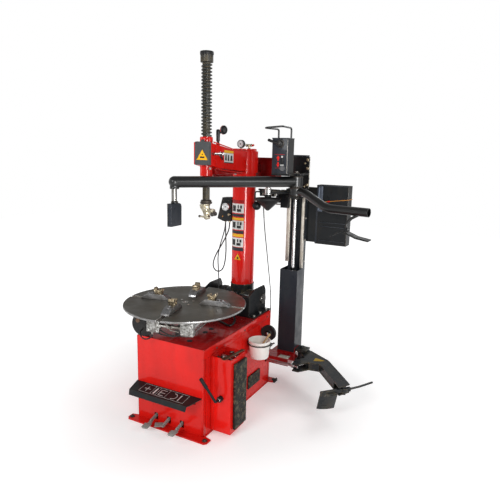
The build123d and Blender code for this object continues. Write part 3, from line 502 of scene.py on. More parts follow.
supply_route = [(-0.16, 0.462, 1.174), (-0.16, 0.462, 1.132), (-0.176, 0.452, 1.058),
                (-0.194, 0.438, 0.982), (-0.198, 0.42, 0.906), (-0.18, 0.398, 0.838),
                (-0.158, 0.372, 0.772), (-0.142, 0.346, 0.706), (-0.131, 0.322, 0.634),
                (-0.131, 0.322, 0.563)]
SADDLE = (0.0825 * math.sqrt(0.5), 0.451 + 0.0825 * math.sqrt(0.5))     # the column's rear face
air_route = [(SADDLE[0] + 0.006, SADDLE[1] + 0.006, 1.34), (SADDLE[0] + 0.023, SADDLE[1] + 0.023, 1.34),
             (0.098, 0.547, 1.328), (0.107, 0.551, 1.304), (0.111, 0.552, 1.27), (0.117, 0.549, 1.208),
             (0.129, 0.547, 1.108), (0.145, 0.545, 1.006), (0.158, 0.547, 0.903), (0.172, 0.548, 0.8),
             (0.187, 0.546, 0.698), (0.197, 0.542, 0.602), (0.203, 0.532, 0.524), (0.204, 0.518, 0.472),
             (0.203, 0.496, 0.443), (0.201, 0.468, 0.43), (0.2, 0.44, 0.43)]

clamp_hose = route_curve("clamp_air_hose", clamp_route, 0.004)
clamp_hose.data.materials.append(hose_rubber)
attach(clamp_hose, "turntable")
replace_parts(clamp_hose, "clamp_hose")
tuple(clamp_route[0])

inflation_hose = route_curve("gauge_inflation_hose", inflation_route, 0.0045)
inflation_hose.data.materials.append(hose_rubber)
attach(inflation_hose, "column")
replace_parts(inflation_hose, "inflation_hose")
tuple(inflation_route[0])

for name, route, radius, length, node in (("gauge_supply_hose", supply_route, 0.004, 0.643, "supply_hose"),
                                          ("helper_air_line", air_route, 0.0035, 1.008, "air_line")):
    line = route_points(name, route)
    cord = Piece(name, hose_rubber, None, None).rod(line, radius, 16, False).done(angle=60)
    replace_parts(cord, node)
    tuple(line[4])
    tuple(line[-4])
    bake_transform(cord)
    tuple(route[0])


# ---- turntable -----------------------------------------------------------------------------
def on_table(turn):
    """A function from (radius, sideways, height) to a point, and a slot's two directions."""
    along = Vector((math.cos(turn), math.sin(turn), 0))
    across = Vector((-math.sin(turn), math.cos(turn), 0))
    return (lambda r, s, z: TABLE + along * r + across * s + Z * z), along, across


def make_jaws():
    """A long wedge-ended slide over each slot, its neck and foot, and a hooked claw on top."""
    wide = 0.05
    slide_side = [(0.104, 0.0006), (0.292, 0.0006), (0.284, 0.012), (0.244, 0.034), (0.138, 0.036),
                  (0.11, 0.014)]
    claw_side = [(0.152, 0.033), (0.2, 0.033), (0.198, 0.05), (0.208, 0.06), (0.205, 0.076),
                 (0.193, 0.071), (0.186, 0.06), (0.171, 0.059), (0.165, 0.068), (0.15, 0.066),
                 (0.147, 0.056), (0.157, 0.05)]
    for number in range(4):
        body = f"jaw_{number + 1}"
        turn = TABLE_TURN + number * math.pi / 2
        at, _, across = on_table(turn)
        slide = Piece(f"jaw_slide_{number + 1}", slide_steel, body, "bright_steel")
        slide.slab([at(r, -wide / 2, z) for r, z in slide_side], across * wide, 0.0018)
        slide.block(at(0.175, 0, -0.006), (0.03, 0.022, 0.0125), turn, 0.0)
        slide.block(at(0.175, 0, -0.0185), (0.06, 0.046, 0.0122), turn, 0.001)
        for r in (0.222, 0.246):
            slide.bolt(at(r, 0, 0.0335 - (r - 0.222) * 0.12), Z, 0.013)
        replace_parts(slide.done(), body)
        claw = Piece(f"jaw_claw_{number + 1}", brass, body, "yellow_brass")
        claw.slab([at(r, -0.017, z) for r, z in claw_side], across * 0.034, 0.0016)
        claw.slab([at(r, -0.02, z) for r, z in claw_side[:4]], across * 0.04, 0.0012)
        claw.rod([at(0.176, -0.024, 0.046), at(0.176, 0.024, 0.046)], 0.0055, 16)
        for step in range(4):                               # grip teeth up the outer face
            claw.block(at(0.2005, -0.0135 + step * 0.009, 0.0555), (0.006, 0.005, 0.009), turn, 0.001)
        claw.done()


def make_clamp_cylinders():
    """The two clamping cylinders under the plate, their pipes, bolts and exhaust muffler."""
    at, along, across = on_table(TABLE_TURN)
    low = 0.676 - TABLE.z
    caps = Piece("clamp_cylinder_caps", cast_aluminium, "turntable", "cast_aluminium")
    barrels = Piece("clamp_cylinder_barrels", bright_steel, "turntable", "bright_steel")
    for u in (-0.107, 0.107):
        for v in (-0.215, 0.215):
            caps.block(at(u, v, low), (0.08, 0.03, 0.084), TABLE_TURN, 0.004, 3)
            side = math.copysign(1, v)
            caps.turned(at(u, v + side * 0.014, low), across * side,
                        [(0.03, 0), (0.028, 0.004), (0.012, 0.005)])
            for du in (-0.03, 0.03):
                for dz in (-0.031, 0.031):
                    barrels.bolt(at(u + du, v + side * 0.015, low + dz), across * side, 0.011)
        barrels.turned(at(u, -0.205, low), across, [(0.035, 0), (0.035, 0.41)], 48)
        for du in (-0.03, 0.03):
            for dz in (-0.031, 0.031):
                barrels.rod([at(u + du, -0.21, low + dz), at(u + du, 0.21, low + dz)], 0.004, 10)
        for v in (-0.15, 0.15):
            caps.block(at(u, v, low + 0.0385), (0.04, 0.024, 0.077), TABLE_TURN, 0.002)
    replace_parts(caps.done(), "clamp_cylinders")
    barrels.done()

    pipes = Piece("clamp_air_pipes", steel, "turntable", "bright_steel")
    pipes.rod([at(-0.07, -0.215, low), at(0.07, -0.215, low)], 0.0105, 20)
    for u in (-0.064, 0.064, -0.012, 0.012):
        pipes.turned(at(u - 0.006, -0.215, low), along,
                     [(0.015, 0), (0.0165, 0.002), (0.0165, 0.01), (0.015, 0.012)], 6)
    pipes.rod([at(-0.072, -0.232, low + 0.03), at(-0.02, -0.236, low + 0.026),
               at(0.01, -0.236, low - 0.014), at(0.06, -0.232, low - 0.02)], 0.0032, 10)
    pipes.turned(at(-0.115, -0.215, low - 0.06), Z, [(0.0065, 0), (0.0085, 0.003), (0.0085, 0.02)], 6)
    pipes.rod([at(-0.182, -0.107, 0.66 - TABLE.z), at(-0.15, -0.107, 0.66 - TABLE.z)], 0.009, 20)
    pipes.done()

    loops = Piece("clamp_air_tubes", hose_rubber, "turntable", "black_rubber")
    ends = ((-0.1, -0.036), (0.1, -0.03), (-0.06, -0.026))
    for first, second in zip(ends, ends[1:]):
        route = []
        for t in [i / 10 for i in range(11)]:
            sag = math.sin(math.pi * t)
            route.append(at(first[0] + (second[0] - first[0]) * t, -0.222 - 0.012 * sag,
                            low + first[1] + (second[1] - first[1]) * t - 0.018 * sag))
        loops.rod(route, 0.0042, 12)
    loops.done(angle=60)

    drum = Piece("exhaust_muffler", rubber, "turntable", "black_rubber")
    centre = at(-0.227, -0.122, 0.632 - TABLE.z)
    drum.turned(centre, across, [(0.066, -0.001), (0.077, 0.003), (0.077, 0.026), (0.071, 0.03)], 56)
    drum.turned(centre, -across, [(0.06, 0.0), (0.056, 0.003), (0.05, -0.001), (0.03, -0.001),
                                  (0.026, 0.004), (0.012, 0.005)], 40)
    drum.turned(at(-0.227, -0.125, 0.6085 - TABLE.z), -Z,
                [(0.007, -0.004), (0.007, 0.003), (0.005, 0.0045)], 12)
    drum.done()
    spot = Piece("muffler_rust_spot", rusty_steel, "turntable", "grey_iron")
    spot.turned(at(-0.262, -0.125, 0.655 - TABLE.z), -across,
                [(0.016, -0.004), (0.014, 0.002), (0.006, 0.004)], 24)
    spot.done()


def make_plate_rim():
    """The turntable's bright edge, open at the slots, and the screws about its hub."""
    rim = Piece("turntable_rim", slide_steel, "turntable", "bright_steel")
    section = [(0.3722, 0.0004), (0.3745, -0.001), (0.3754, -0.004), (0.3754, -0.0085),
               (0.3742, -0.0115), (0.3722, -0.0124)]
    for quarter in range(4):
        first = TABLE_TURN + quarter * math.pi / 2 + math.radians(2.4)
        sweep = math.radians(90 - 4.8)
        rings = []
        for i in range(29):
            at, _, _ = on_table(first + sweep * i / 28)
            rings.append([rim.mesh.verts.new(at(r, 0, z)) for r, z in section])
        rim.ring_faces(rings)
        rim.mesh.faces.new(rings[0][::-1])
        rim.mesh.faces.new(rings[-1])
    rim.done()
    hub = Piece("turntable_hub_screws", steel, "turntable", "bright_steel")
    for i in range(4):
        at, _, _ = on_table(TABLE_TURN + math.pi / 4 + i * math.pi / 2)
        hub.turned(at(0.055, 0, 0), Z,
                   [(0.0085, 0.0), (0.0085, 0.0012), (0.007, 0.0018), (0.004, 0.001)], 24)
    hub.turned(TABLE, Z, [(0.022, 0.0), (0.0215, 0.0014), (0.019, 0.0016), (0.017, 0.0006)], 40)
    hub.done()


# ---- cabinet -------------------------------------------------------------------------------
def make_cabinet_trim():
    """The folded cover over the cabinet's top, the folds down its corners, plugs and bolts."""
    west, east, front, back, top = cab_low.x, cab_high.x, cab_low.y, cab_high.y, cab_high.z
    sheet, drop = 0.0016, 0.056
    cover = Piece("cabinet_cover_rim", red_paint, "root", "red_paint")
    cover.box((east, front - sheet, top - drop), (east + sheet, back + sheet, top - 0.003), 0.0007)
    lip = east + sheet + 0.0012
    cover.box((east, front - sheet, top - 0.0045), (lip, back + sheet, top - 0.0005), 0.0012)
    cover.box((west - sheet, front - sheet, top - drop), (west, back + sheet, top - 0.0005), 0.0007)
    cover.box((west, back, top - drop), (east, back + sheet, top - 0.0005), 0.0007)
    cover.box((east, front - sheet, 0.01), (east + sheet * 0.6, front + 0.024, top - drop - 0.002), 0.0005)
    cover.box((east - 0.012, front - sheet * 0.8, 0.01), (east + sheet * 0.6, front, top - drop), 0.0005)
    cover.box((east, front + 0.046, 0.01), (east + sheet * 0.5, front + 0.05, top - drop - 0.002), 0.0004)
    cover.box((east, back - 0.026, 0.01), (east + sheet * 0.6, back + sheet, top - drop - 0.002), 0.0005)
    cover.box((west - sheet * 0.6, front - sheet, 0.01), (west, front + 0.024, top - drop), 0.0005)
    cover.done()
    # A sheet of the darker red over the front of the cabinet top, with a ring round the turntable: painted
    # shade on the top.
    lid = Piece("cabinet_top_shade_sheet", dark_red_and_painted_shade, "root", "red_paint")
    lid.slab([(west + 0.001, front + 0.001, top), (east - 0.001, front + 0.001, top),
              (east - 0.001, 0.207, top), (west + 0.001, 0.207, top)], (0, 0, 0.0012), 0.0004)
    lid.turned((0, TABLE.y, top), Z, [(0.066, 0.0), (0.082, 0.0012), (0.08, 0.004), (0.063, 0.0045)], 56)
    lid.done()
    plugs = Piece("cabinet_top_plugs", black_plastic, "root", "black_plastic")
    for place in ((0.093, -0.362), (0.092, -0.189), (0.092, -0.118)):
        plugs.turned((*place, top + 0.001), Z,
                     [(0.0165, 0), (0.0165, 0.0025), (0.013, 0.0042), (0.005, 0.0035)], 28)
    plugs.done()
    feet = Piece("anchor_bolts", dark_steel, "root", "bright_steel")
    for x in (-0.275, 0.275):
        for y in (-0.47, 0.47):
            feet.turned((x, y, 0.0015), Z,
                        [(0.0088, 0), (0.0088, 0.0075), (0.0155, 0.0076), (0.0155, 0.0098),
                         (0.0095, 0.0104), (0.0095, 0.0165), (0.0075, 0.018)], 24)
    feet.done()
    boots = Piece("rear_foot_boot", rubber, "root", "black_rubber")
    boots.slab([(0.285, 0.436, 0.0), (0.3, 0.436, 0.0), (0.3, 0.484, 0.0), (0.285, 0.5, 0.0)],
               (0, 0, 0.018), 0.003)
    boots.done()
    rivets = Piece("cabinet_side_screws", dark_steel, "root", "bright_steel")
    for y in (front + 0.14, 0.05, back - 0.06):
        rivets.turned((east + sheet, y, top - 0.03), X, [(0.0065, 0), (0.006, 0.002), (0.003, 0.003)], 20)
    rivets.done()


def make_pedal_treads():
    """A wide worn tread plate on the end of each pedal."""
    runs = (("pedal_left", (-0.102, -0.49), (-0.086, -0.578)),
            ("pedal_middle", (-0.004, -0.49), (-0.052, -0.522)),
            ("pedal_right", (0.094, -0.49), (0.098, -0.566)))
    for name, near, far in runs:
        near, far = Vector((*near, 0.0425)), Vector((*far, 0.0425))
        along = (far - near).normalized()
        turn = math.atan2(along.y, along.x)
        tread = Piece(name + "_tread", pedal_grey, name, "bright_steel")
        tread.block(far - along * 0.024, (0.05, 0.046, 0.0032), turn, 0.0012)
        for step in range(4):
            ridge = far - along * (0.008 + step * 0.01) + Z * 0.002
            tread.block(ridge, (0.0025, 0.036, 0.0016), turn, 0.0006, 1)
        tread.done()


def make_visor_panel():
    """Outlined blank panels and plain movement marks on the slope above the pedals."""
    lines = Piece("visor_outlines", panel_paint, "root", "grey_paint")
    upper, lower = Vector((0, -0.4405, 0.2534)), Vector((0, -0.5405, 0.2385))
    down = lower - upper
    normal = X.cross(down).normalized()
    normal = normal if normal.z > 0 else -normal

    def at(x, share):
        return Vector((x, 0, 0)) + upper + down * share + normal * 0.0003

    def stroke(a, b, wide=0.0016):
        start, end = at(*a), at(*b)
        side = normal.cross(end - start).normalized() * wide / 2
        lines.slab([start - side, end - side, end + side, start + side], normal * 0.0006)

    west, east, near, far = -0.17, 0.156, 0.1, 0.86
    cells = (west, -0.086, -0.048, 0.02, east)
    for share in (near, far):
        stroke((west, share), (east, share))
    for x in cells:
        stroke((x, near), (x, far))
    stroke((-0.15, 0.5), (-0.106, 0.5), 0.004)
    stroke((-0.128, 0.28), (-0.128, 0.72), 0.004)
    stroke((-0.067, 0.22), (-0.067, 0.78), 0.01)
    for share in (0.26, 0.5, 0.74):
        stroke((-0.032, share), (0.004, share), 0.004)
    stroke((-0.032, 0.26), (-0.032, 0.74), 0.004)
    turns = [math.pi * i / 10 for i in range(11)]
    bow = [(0.06 + 0.03 * math.sin(t), 0.5 - 0.26 * math.cos(t)) for t in turns]
    for a, b in zip(bow, bow[1:]):
        stroke(a, b, 0.004)
    stroke((0.112, 0.24), (0.112, 0.76), 0.006)
    lines.done(smooth=False)


def rough_pad(name, low, high, ribs):
    """A rubber pad on a face towards +X: bevelled edges, rows of worn ribs and scuffs."""
    piece = Piece(name, pad_rubber, "root", "black_rubber")
    piece.box(low, high, min(0.006, (high[0] - low[0]) * 0.35), 3)
    rows, columns = ribs
    step_z = (high[2] - low[2] - 0.03) / rows
    step_y = (high[1] - low[1] - 0.024) / columns
    for row in range(rows):
        for column in range(columns):
            if draw.random() < 0.16:
                continue                                    # a rib worn away
            y = low[1] + 0.012 + (column + 0.5) * step_y
            z = low[2] + 0.015 + (row + 0.5) * step_z
            lean = 0.35 if (row + column) % 2 else -0.35
            long, thick = step_y * draw.uniform(0.32, 0.44), step_z * draw.uniform(0.16, 0.26)
            along = Vector((0, math.cos(lean), math.sin(lean))) * long
            up = Vector((0, -math.sin(lean), math.cos(lean))) * thick
            centre = Vector((high[0] - 0.0006, y, z))
            piece.slab([centre - along - up, centre + along - up, centre + along * 0.9 + up,
                        centre - along * 0.9 + up], (draw.uniform(0.0012, 0.0026), 0, 0), 0.0006, 1)
    return piece.done()


def make_side_box_trim():
    big = rough_pad("bead_breaker_pad", (0.3852, -0.335, 0.045), (0.4035, -0.198, 0.462), (26, 6))
    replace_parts(big, "bead_pads")
    rough_pad("cabinet_scuff_pad", (0.2462, 0.105, 0.08), (0.2565, 0.278, 0.17), (7, 7))
    lip = Piece("side_box_folds", red_paint, "root", "red_paint")
    lip.box((0.2465, -0.3645, 0.4935), (0.3865, -0.3605, 0.4965), 0.0012)
    lip.box((0.3825, -0.3645, 0.4935), (0.3865, -0.1945, 0.4965), 0.0012)
    lip.box((0.2465, -0.1975, 0.4935), (0.3865, -0.194, 0.4965), 0.0012)
    lip.box((0.2476, -0.3655, 0.024), (0.27, -0.363, 0.492), 0.0008)
    lip.done()
    lever = Piece("tire_lever", rusty_steel, "root", "bright_steel")
    start, end = Vector((0.344, -0.395, 0.5005)), Vector((0.379, -0.206, 0.5035))
    along = (end - start).normalized()
    side = along.cross(Z).normalized()
    stations = [(0.0, 0.016, 0.003, 0.004), (0.02, 0.015, 0.004, 0.001), (0.06, 0.01, 0.007, 0.0),
                (0.13, 0.009, 0.008, 0.0), (0.168, 0.011, 0.006, 0.001), (0.192, 0.014, 0.003, 0.005)]
    rings = []
    for reach, wide, thick, lift in stations:
        centre = start + along * reach + Z * (lift + thick / 2)
        ring = [lever.mesh.verts.new(centre + side * wide * a + Z * thick * b / 2)
                for a, b in ((-1, -0.4), (-0.6, -1), (0.6, -1), (1, -0.4),
                             (1, 0.4), (0.6, 1), (-0.6, 1), (-1, 0.4))]
        rings.append(ring)
    lever.ring_faces(rings)
    lever.mesh.faces.new(rings[0][::-1])
    lever.mesh.faces.new(rings[-1])
    lever.done(angle=50)
    liner = Piece("tray_liner", dark_red_and_painted_shade, "root", "red_paint")
    liner.box((0.2508, -0.3578, 0.464), (0.3812, -0.2002, 0.469), 0.0015)
    liner.done()
    bits = Piece("tray_valve_parts", dark_steel, "root", "bright_steel")
    for _ in range(16):
        place = Vector((draw.uniform(0.262, 0.368), draw.uniform(-0.345, -0.212), 0.4695))
        size = draw.uniform(0.009, 0.017)
        turn = draw.uniform(0, math.pi)
        lie = Vector((math.cos(turn), math.sin(turn), 0))
        if draw.random() < 0.5:
            bits.bolt(place, Z, size, True)
        else:
            bits.turned(place + Z * size * 0.45, lie,
                        [(size * 0.4, 0), (size * 0.45, 0.002), (size * 0.45, size * 1.6),
                         (size * 0.22, size * 1.7), (size * 0.22, size * 2.6)], 14)
    bits.done()
    weights = Piece("tray_wheel_weights", bright_steel, "root", "bright_steel")
    for _ in range(7):
        place = Vector((draw.uniform(0.265, 0.365), draw.uniform(-0.335, -0.215),
                        0.475 + draw.uniform(0, 0.004)))
        weights.block(place, (0.03, 0.012, 0.006), draw.uniform(0, math.pi), 0.002)
    weights.done()
    hub = Piece("side_lever_screw", bright_steel, "side_lever", "bright_steel")
    hub.turned((0.319, -0.387, 0.244), -Y, [(0.01, 0), (0.01, 0.003), (0.008, 0.0045),
                                            (0.003, 0.003)], 24)
    hub.done()


def make_bucket():
    """The white paste bucket with its rolled rims, ring, brush and drips."""
    x, y, base, rim = 0.325, 0.116, 0.332, 0.454

    def wall(z):
        return 0.062 + (z - base) / (rim - base) * 0.0105

    bucket = Piece("paste_bucket_shell", white_plastic, "root", "white_plastic")
    outer = [(0.0, base), (0.055, base), (0.06, base + 0.0015), (wall(base + 0.006), base + 0.006),
             (wall(0.434), 0.434), (wall(0.436) + 0.0018, 0.435), (wall(0.438) + 0.0018, 0.4395),
             (wall(0.44), 0.4405), (wall(0.447), 0.447), (wall(0.448) + 0.0022, 0.448),
             (wall(0.452) + 0.0022, 0.453), (wall(0.453) + 0.001, 0.4545),
             (wall(0.453) - 0.002, 0.4537), (wall(0.44) - 0.0032, 0.443),
             (wall(base) - 0.0025, base + 0.006), (0.055, base + 0.0035), (0.0, base + 0.0033)]
    bucket.turned((x, y, 0), Z, outer, 80)
    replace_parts(bucket.done(angle=50), "paste_bucket")
    paste = Piece("tire_paste", paste_cream, "root", "white_plastic")
    paste.turned((x, y, 0), Z, [(0.0, 0.394), (0.03, 0.3955), (0.052, 0.393), (0.062, 0.396),
                                (0.064, 0.392), (0.063, 0.39), (0.0, 0.39)], 48)
    paste.done(angle=60)
    grime = Piece("bucket_grime", grime_brown, "root", "white_plastic")
    count, rings = 72, ([], [], [], [])
    for i in range(count):
        turn = TAU * i / count
        spoke = Vector((math.cos(turn), math.sin(turn), 0))
        waves = math.sin(turn * 5 + 1.3) * math.sin(turn * 2 + 0.4)
        drip = 0.4325 - 0.016 * max(0.0, waves) - draw.uniform(0, 0.0025)
        for ring, (z, out) in zip(rings, ((drip, 0.0002), (drip + 0.001, 0.0008), (0.4338, 0.0009),
                                          (0.4342, 0.0002))):
            ring.append(grime.mesh.verts.new(Vector((x, y, z)) + spoke * (wall(z) + out)))
    grime.ring_faces(rings)
    grime.ring_faces((rings[3], rings[0]))
    grime.done(angle=60)
    brush = Piece("paste_brush", wood, "root", "yellow_brass")
    brush.rod([(x + 0.004, y - 0.004, 0.395), (x + 0.04, y + 0.026, 0.462),
               (x + 0.05, y + 0.034, 0.484)], 0.0062, 14)
    brush.turned((x + 0.048, y + 0.0325, 0.476), Vector((0.5, 0.4, 1.0)),
                 [(0.006, 0), (0.0085, 0.004), (0.008, 0.016), (0.004, 0.021)], 18)
    brush.done()


def make_spare_disc():
    """Silver hub and wing nut on the spare flange disc that hangs behind the bucket."""
    x, y, z = 0.306, 0.296, 0.442
    disc = Piece("spare_disc_face", black_plastic, "root", "black_paint")
    disc.turned((x, y - 0.009, z), -Y, [(0.054, 0), (0.0552, 0.002), (0.0545, 0.004), (0.048, 0.005),
                                        (0.044, 0.0035), (0.026, 0.0035), (0.022, 0.0065),
                                        (0.014, 0.007)], 56)
    disc.done()
    hub = Piece("spare_disc_nut", bright_steel, "root", "bright_steel")
    hub.turned((x, y - 0.022, z), -Y, [(0.0115, 0), (0.0115, 0.004), (0.0095, 0.006), (0.0065, 0.0062),
                                       (0.006, 0.01), (0.004, 0.011)], 6)
    hub.done()
    nut = Piece("wing_nut", grey_plastic, "root", "grey_paint")
    centre = Vector((0.324, 0.288, 0.358))
    nut.turned(centre, -Y, [(0.013, -0.012), (0.013, 0.008), (0.01, 0.012)], 24)
    for lean in (0.55, 2.2, -1.75):
        tip = centre + Vector((math.cos(lean), 0, math.sin(lean))) * 0.036
        nut.rod([centre, (centre + tip) / 2, tip], 0.0062, 12, taper=(1.1, 0.9, 1.0))
    nut.rod([centre, (0.262, 0.29, 0.362), (0.247, 0.29, 0.362)], 0.0052, 12)
    nut.done()


# ---- column and arm ------------------------------------------------------------------------
COLUMN_AT, COLUMN_RADIUS = Vector((0, 0.451, 0)), 0.0825


def column_plate(piece, z_low, z_high, turn_low=-137, turn_high=-60, out=0.0005, thick=0.0006, steps=14):
    """A thin sheet wrapped on the column's front between two heights and two angles."""
    rings = []
    for i in range(steps + 1):
        turn = math.radians(turn_low + (turn_high - turn_low) * i / steps)
        spoke = Vector((math.cos(turn), math.sin(turn), 0))
        near = COLUMN_AT + spoke * (COLUMN_RADIUS + out)
        far = COLUMN_AT + spoke * (COLUMN_RADIUS + out + thick)
        rings.append([piece.mesh.verts.new(place) for place in
                      (near + Z * z_low, far + Z * z_low, far + Z * z_high, near + Z * z_high)])
    piece.ring_faces(rings)
    piece.mesh.faces.new(rings[0][::-1])
    piece.mesh.faces.new(rings[-1])


def make_column_plates():
    """Blank coloured panels with plain bars where a machine carries its notices."""
    bands = [("column_plate_red", dark_red_and_painted_shade, "red_paint", [(1.326, 1.349)]),
             ("column_plate_white", panel_paint, "white_plastic",
              [(1.255, 1.323), (1.136, 1.201), (1.01, 1.078)]),
             ("column_plate_dark", slate_paint, "black_paint",
              [(1.229, 1.249), (1.108, 1.129), (0.981, 1.006)]),
             ("column_plate_yellow", yellow_paint, "yellow_brass", [(1.204, 1.222), (1.084, 1.105)])]
    for name, material, slot, spans in bands:
        plate = Piece(name, material, "column", slot)
        for low, high in spans:
            column_plate(plate, low, high)
        plate.done()
    marks = Piece("column_plate_marks", black_plastic, "column", "black_paint")
    for base in (1.255, 1.136, 1.01):
        for left, right, low, high in ((-129, -104, 0.012, 0.054), (-97, -74, 0.01, 0.03),
                                       (-93, -86, 0.034, 0.058), (-80, -70, 0.034, 0.056)):
            column_plate(marks, base + low, base + high, left, right, 0.0011, 0.0004)
    marks.done()
    warn = Piece("column_triangle", yellow_paint, "column", "yellow_brass")
    seat = COLUMN_AT.y - COLUMN_RADIUS - 0.0006
    warn.slab([(-0.025, seat, 0.916), (0.029, seat, 0.916), (0.002, seat - 0.0004, 0.961)],
              (0, -0.0006, 0), 0.0)
    warn.done(smooth=False)
    bolt = Piece("column_triangle_mark", black_plastic, "column", "black_paint")
    bolt.slab([(-0.006, seat - 0.0009, 0.923), (0.012, seat - 0.0009, 0.923),
               (0.003, seat - 0.0009, 0.946)], (0, -0.0004, 0), 0.0)
    bolt.done(smooth=False)


def make_column_trim():
    collar = Piece("column_foot_collar", greasy_paint, "column", "black_paint")
    column_plate(collar, 0.6045, 0.693, -62, 242, 0.0004, 0.0036, 48)
    column_plate(collar, 0.6045, 0.693, -118, -62, 0.0002, 0.0004)
    collar.turned(COLUMN_AT, Z, [(0.0826, 0.6925), (0.0865, 0.6935), (0.0865, 0.724), (0.088, 0.7255),
                                 (0.088, 0.7315), (0.0862, 0.7325), (0.0827, 0.7325)], 72)
    collar.turned((0.0, 0.42, 0.64), X, [(0.0505, -0.1695), (0.0512, -0.1685), (0.0512, 0.1685),
                                         (0.0505, 0.1695)], 56)
    collar.turned((0.0, 0.42, 0.64), X, [(0.056, -0.14), (0.056, -0.112)], 56)
    collar.turned((0.0, 0.42, 0.64), X, [(0.056, 0.112), (0.056, 0.14)], 56)
    collar.done()
    top = Piece("column_cap", red_paint, "column", "red_paint")
    cap = 1.6962
    top.turned(COLUMN_AT, Z, [(0.06, cap - 0.006), (0.0832, cap - 0.006), (0.0842, cap - 0.003),
                              (0.0842, cap + 0.0005), (0.0825, cap + 0.0028), (0.078, cap + 0.0033),
                              (0.03, cap + 0.0033)], 72)
    top.done()
    sleeve = Piece("spindle_sleeve_cap", red_paint, "column", "red_paint")
    sleeve.turned((0, -0.048, 0), Z, [(0.0262, 1.76), (0.0262, 1.7697), (0.034, 1.7702),
                                      (0.0385, 1.767), (0.0402, 1.761), (0.0402, 1.742),
                                      (0.0392, 1.741)], 56)
    sleeve.done()
    lip = Piece("arm_lower_flange", red_paint, "column", "red_paint")
    side = [(-0.008, 1.5802), (-0.008, 1.5742), (0.01, 1.5668), (0.036, 1.564), (0.2, 1.5478),
            (0.366, 1.54), (0.366, 1.5462), (0.2, 1.5545), (0.04, 1.5705), (0.01, 1.5765)]
    lip.slab([(-0.0655, y, z) for y, z in side], (0.131, 0, 0), 0.0008)
    # A dark red plate under the arm, between the sleeve and the column: painted shade.
    under = Piece("arm_under_shade_plate", dark_red_and_painted_shade, "column", "red_paint")
    under.slab([(-0.046, y, z) for y, z in ((-0.0075, 1.5385), (0.366, 1.5385), (0.366, 1.542),
                                             (0.2, 1.55), (0.036, 1.5665), (-0.0075, 1.5735))],
               (0.092, 0, 0), 0.001)
    under.done()
    seam = [(-0.06, 1.735), (0.186, 1.6965), (0.366, 1.6915), (0.366, 1.6975), (0.186, 1.703),
            (-0.06, 1.7425)]
    for x in (0.0582, -0.0617):
        lip.slab([(x, y, z) for y, z in seam], (0.0035, 0, 0), 0.0006)
    lip.slab([(0.058, -0.03, 1.6), (0.058, -0.03, 1.72), (0.06, -0.03, 1.712), (0.06, -0.03, 1.608)],
             (0, 0.006, 0), 0.0004)
    lip.done()
    screws = Piece("arm_screws", steel, "column", "bright_steel")
    screws.turned((-0.014, 0.345, 1.54), -Z, [(0.0085, -0.006), (0.0085, 0.01), (0.0065, 0.013)], 6)
    screws.turned((0.056, -0.092, 1.581), -Z, [(0.008, -0.004), (0.008, 0.008), (0.006, 0.01)], 6)
    screws.done()
    plate = Piece("arm_plate", panel_paint, "column", "white_plastic")
    plate.slab([(0.0583, 0.07, 1.614), (0.0583, 0.187, 1.608), (0.0583, 0.187, 1.67),
                (0.0583, 0.07, 1.676)], (0.0008, 0, 0), 0.0003, 1)
    plate.done(smooth=False)
    strip = Piece("arm_plate_strip", yellow_paint, "column", "yellow_brass")
    strip.slab([(0.0583, 0.07, 1.6765), (0.0583, 0.187, 1.6705), (0.0583, 0.187, 1.687),
                (0.0583, 0.07, 1.693)], (0.0009, 0, 0), 0.0003, 1)
    strip.done(smooth=False)
    marks = Piece("arm_plate_marks", black_plastic, "column", "black_paint")
    for y, wide, low, high in ((0.079, 0.024, 0.014, 0.052), (0.112, 0.022, 0.012, 0.05),
                               (0.146, 0.03, 0.014, 0.048)):
        base = 1.614 - (y - 0.07) * 0.051
        marks.slab([(0.0592, y, base + low), (0.0592, y + wide, base + low - 0.001),
                    (0.0592, y + wide * 0.8, base + high), (0.0592, y + wide * 0.2, base + high)],
                   (0.0004, 0, 0), 0.0)
    marks.slab([(0.0592, 0.072, 1.612), (0.0592, 0.185, 1.6062), (0.0592, 0.185, 1.612),
                (0.0592, 0.072, 1.618)], (0.0004, 0, 0), 0.0)
    marks.done(smooth=False)


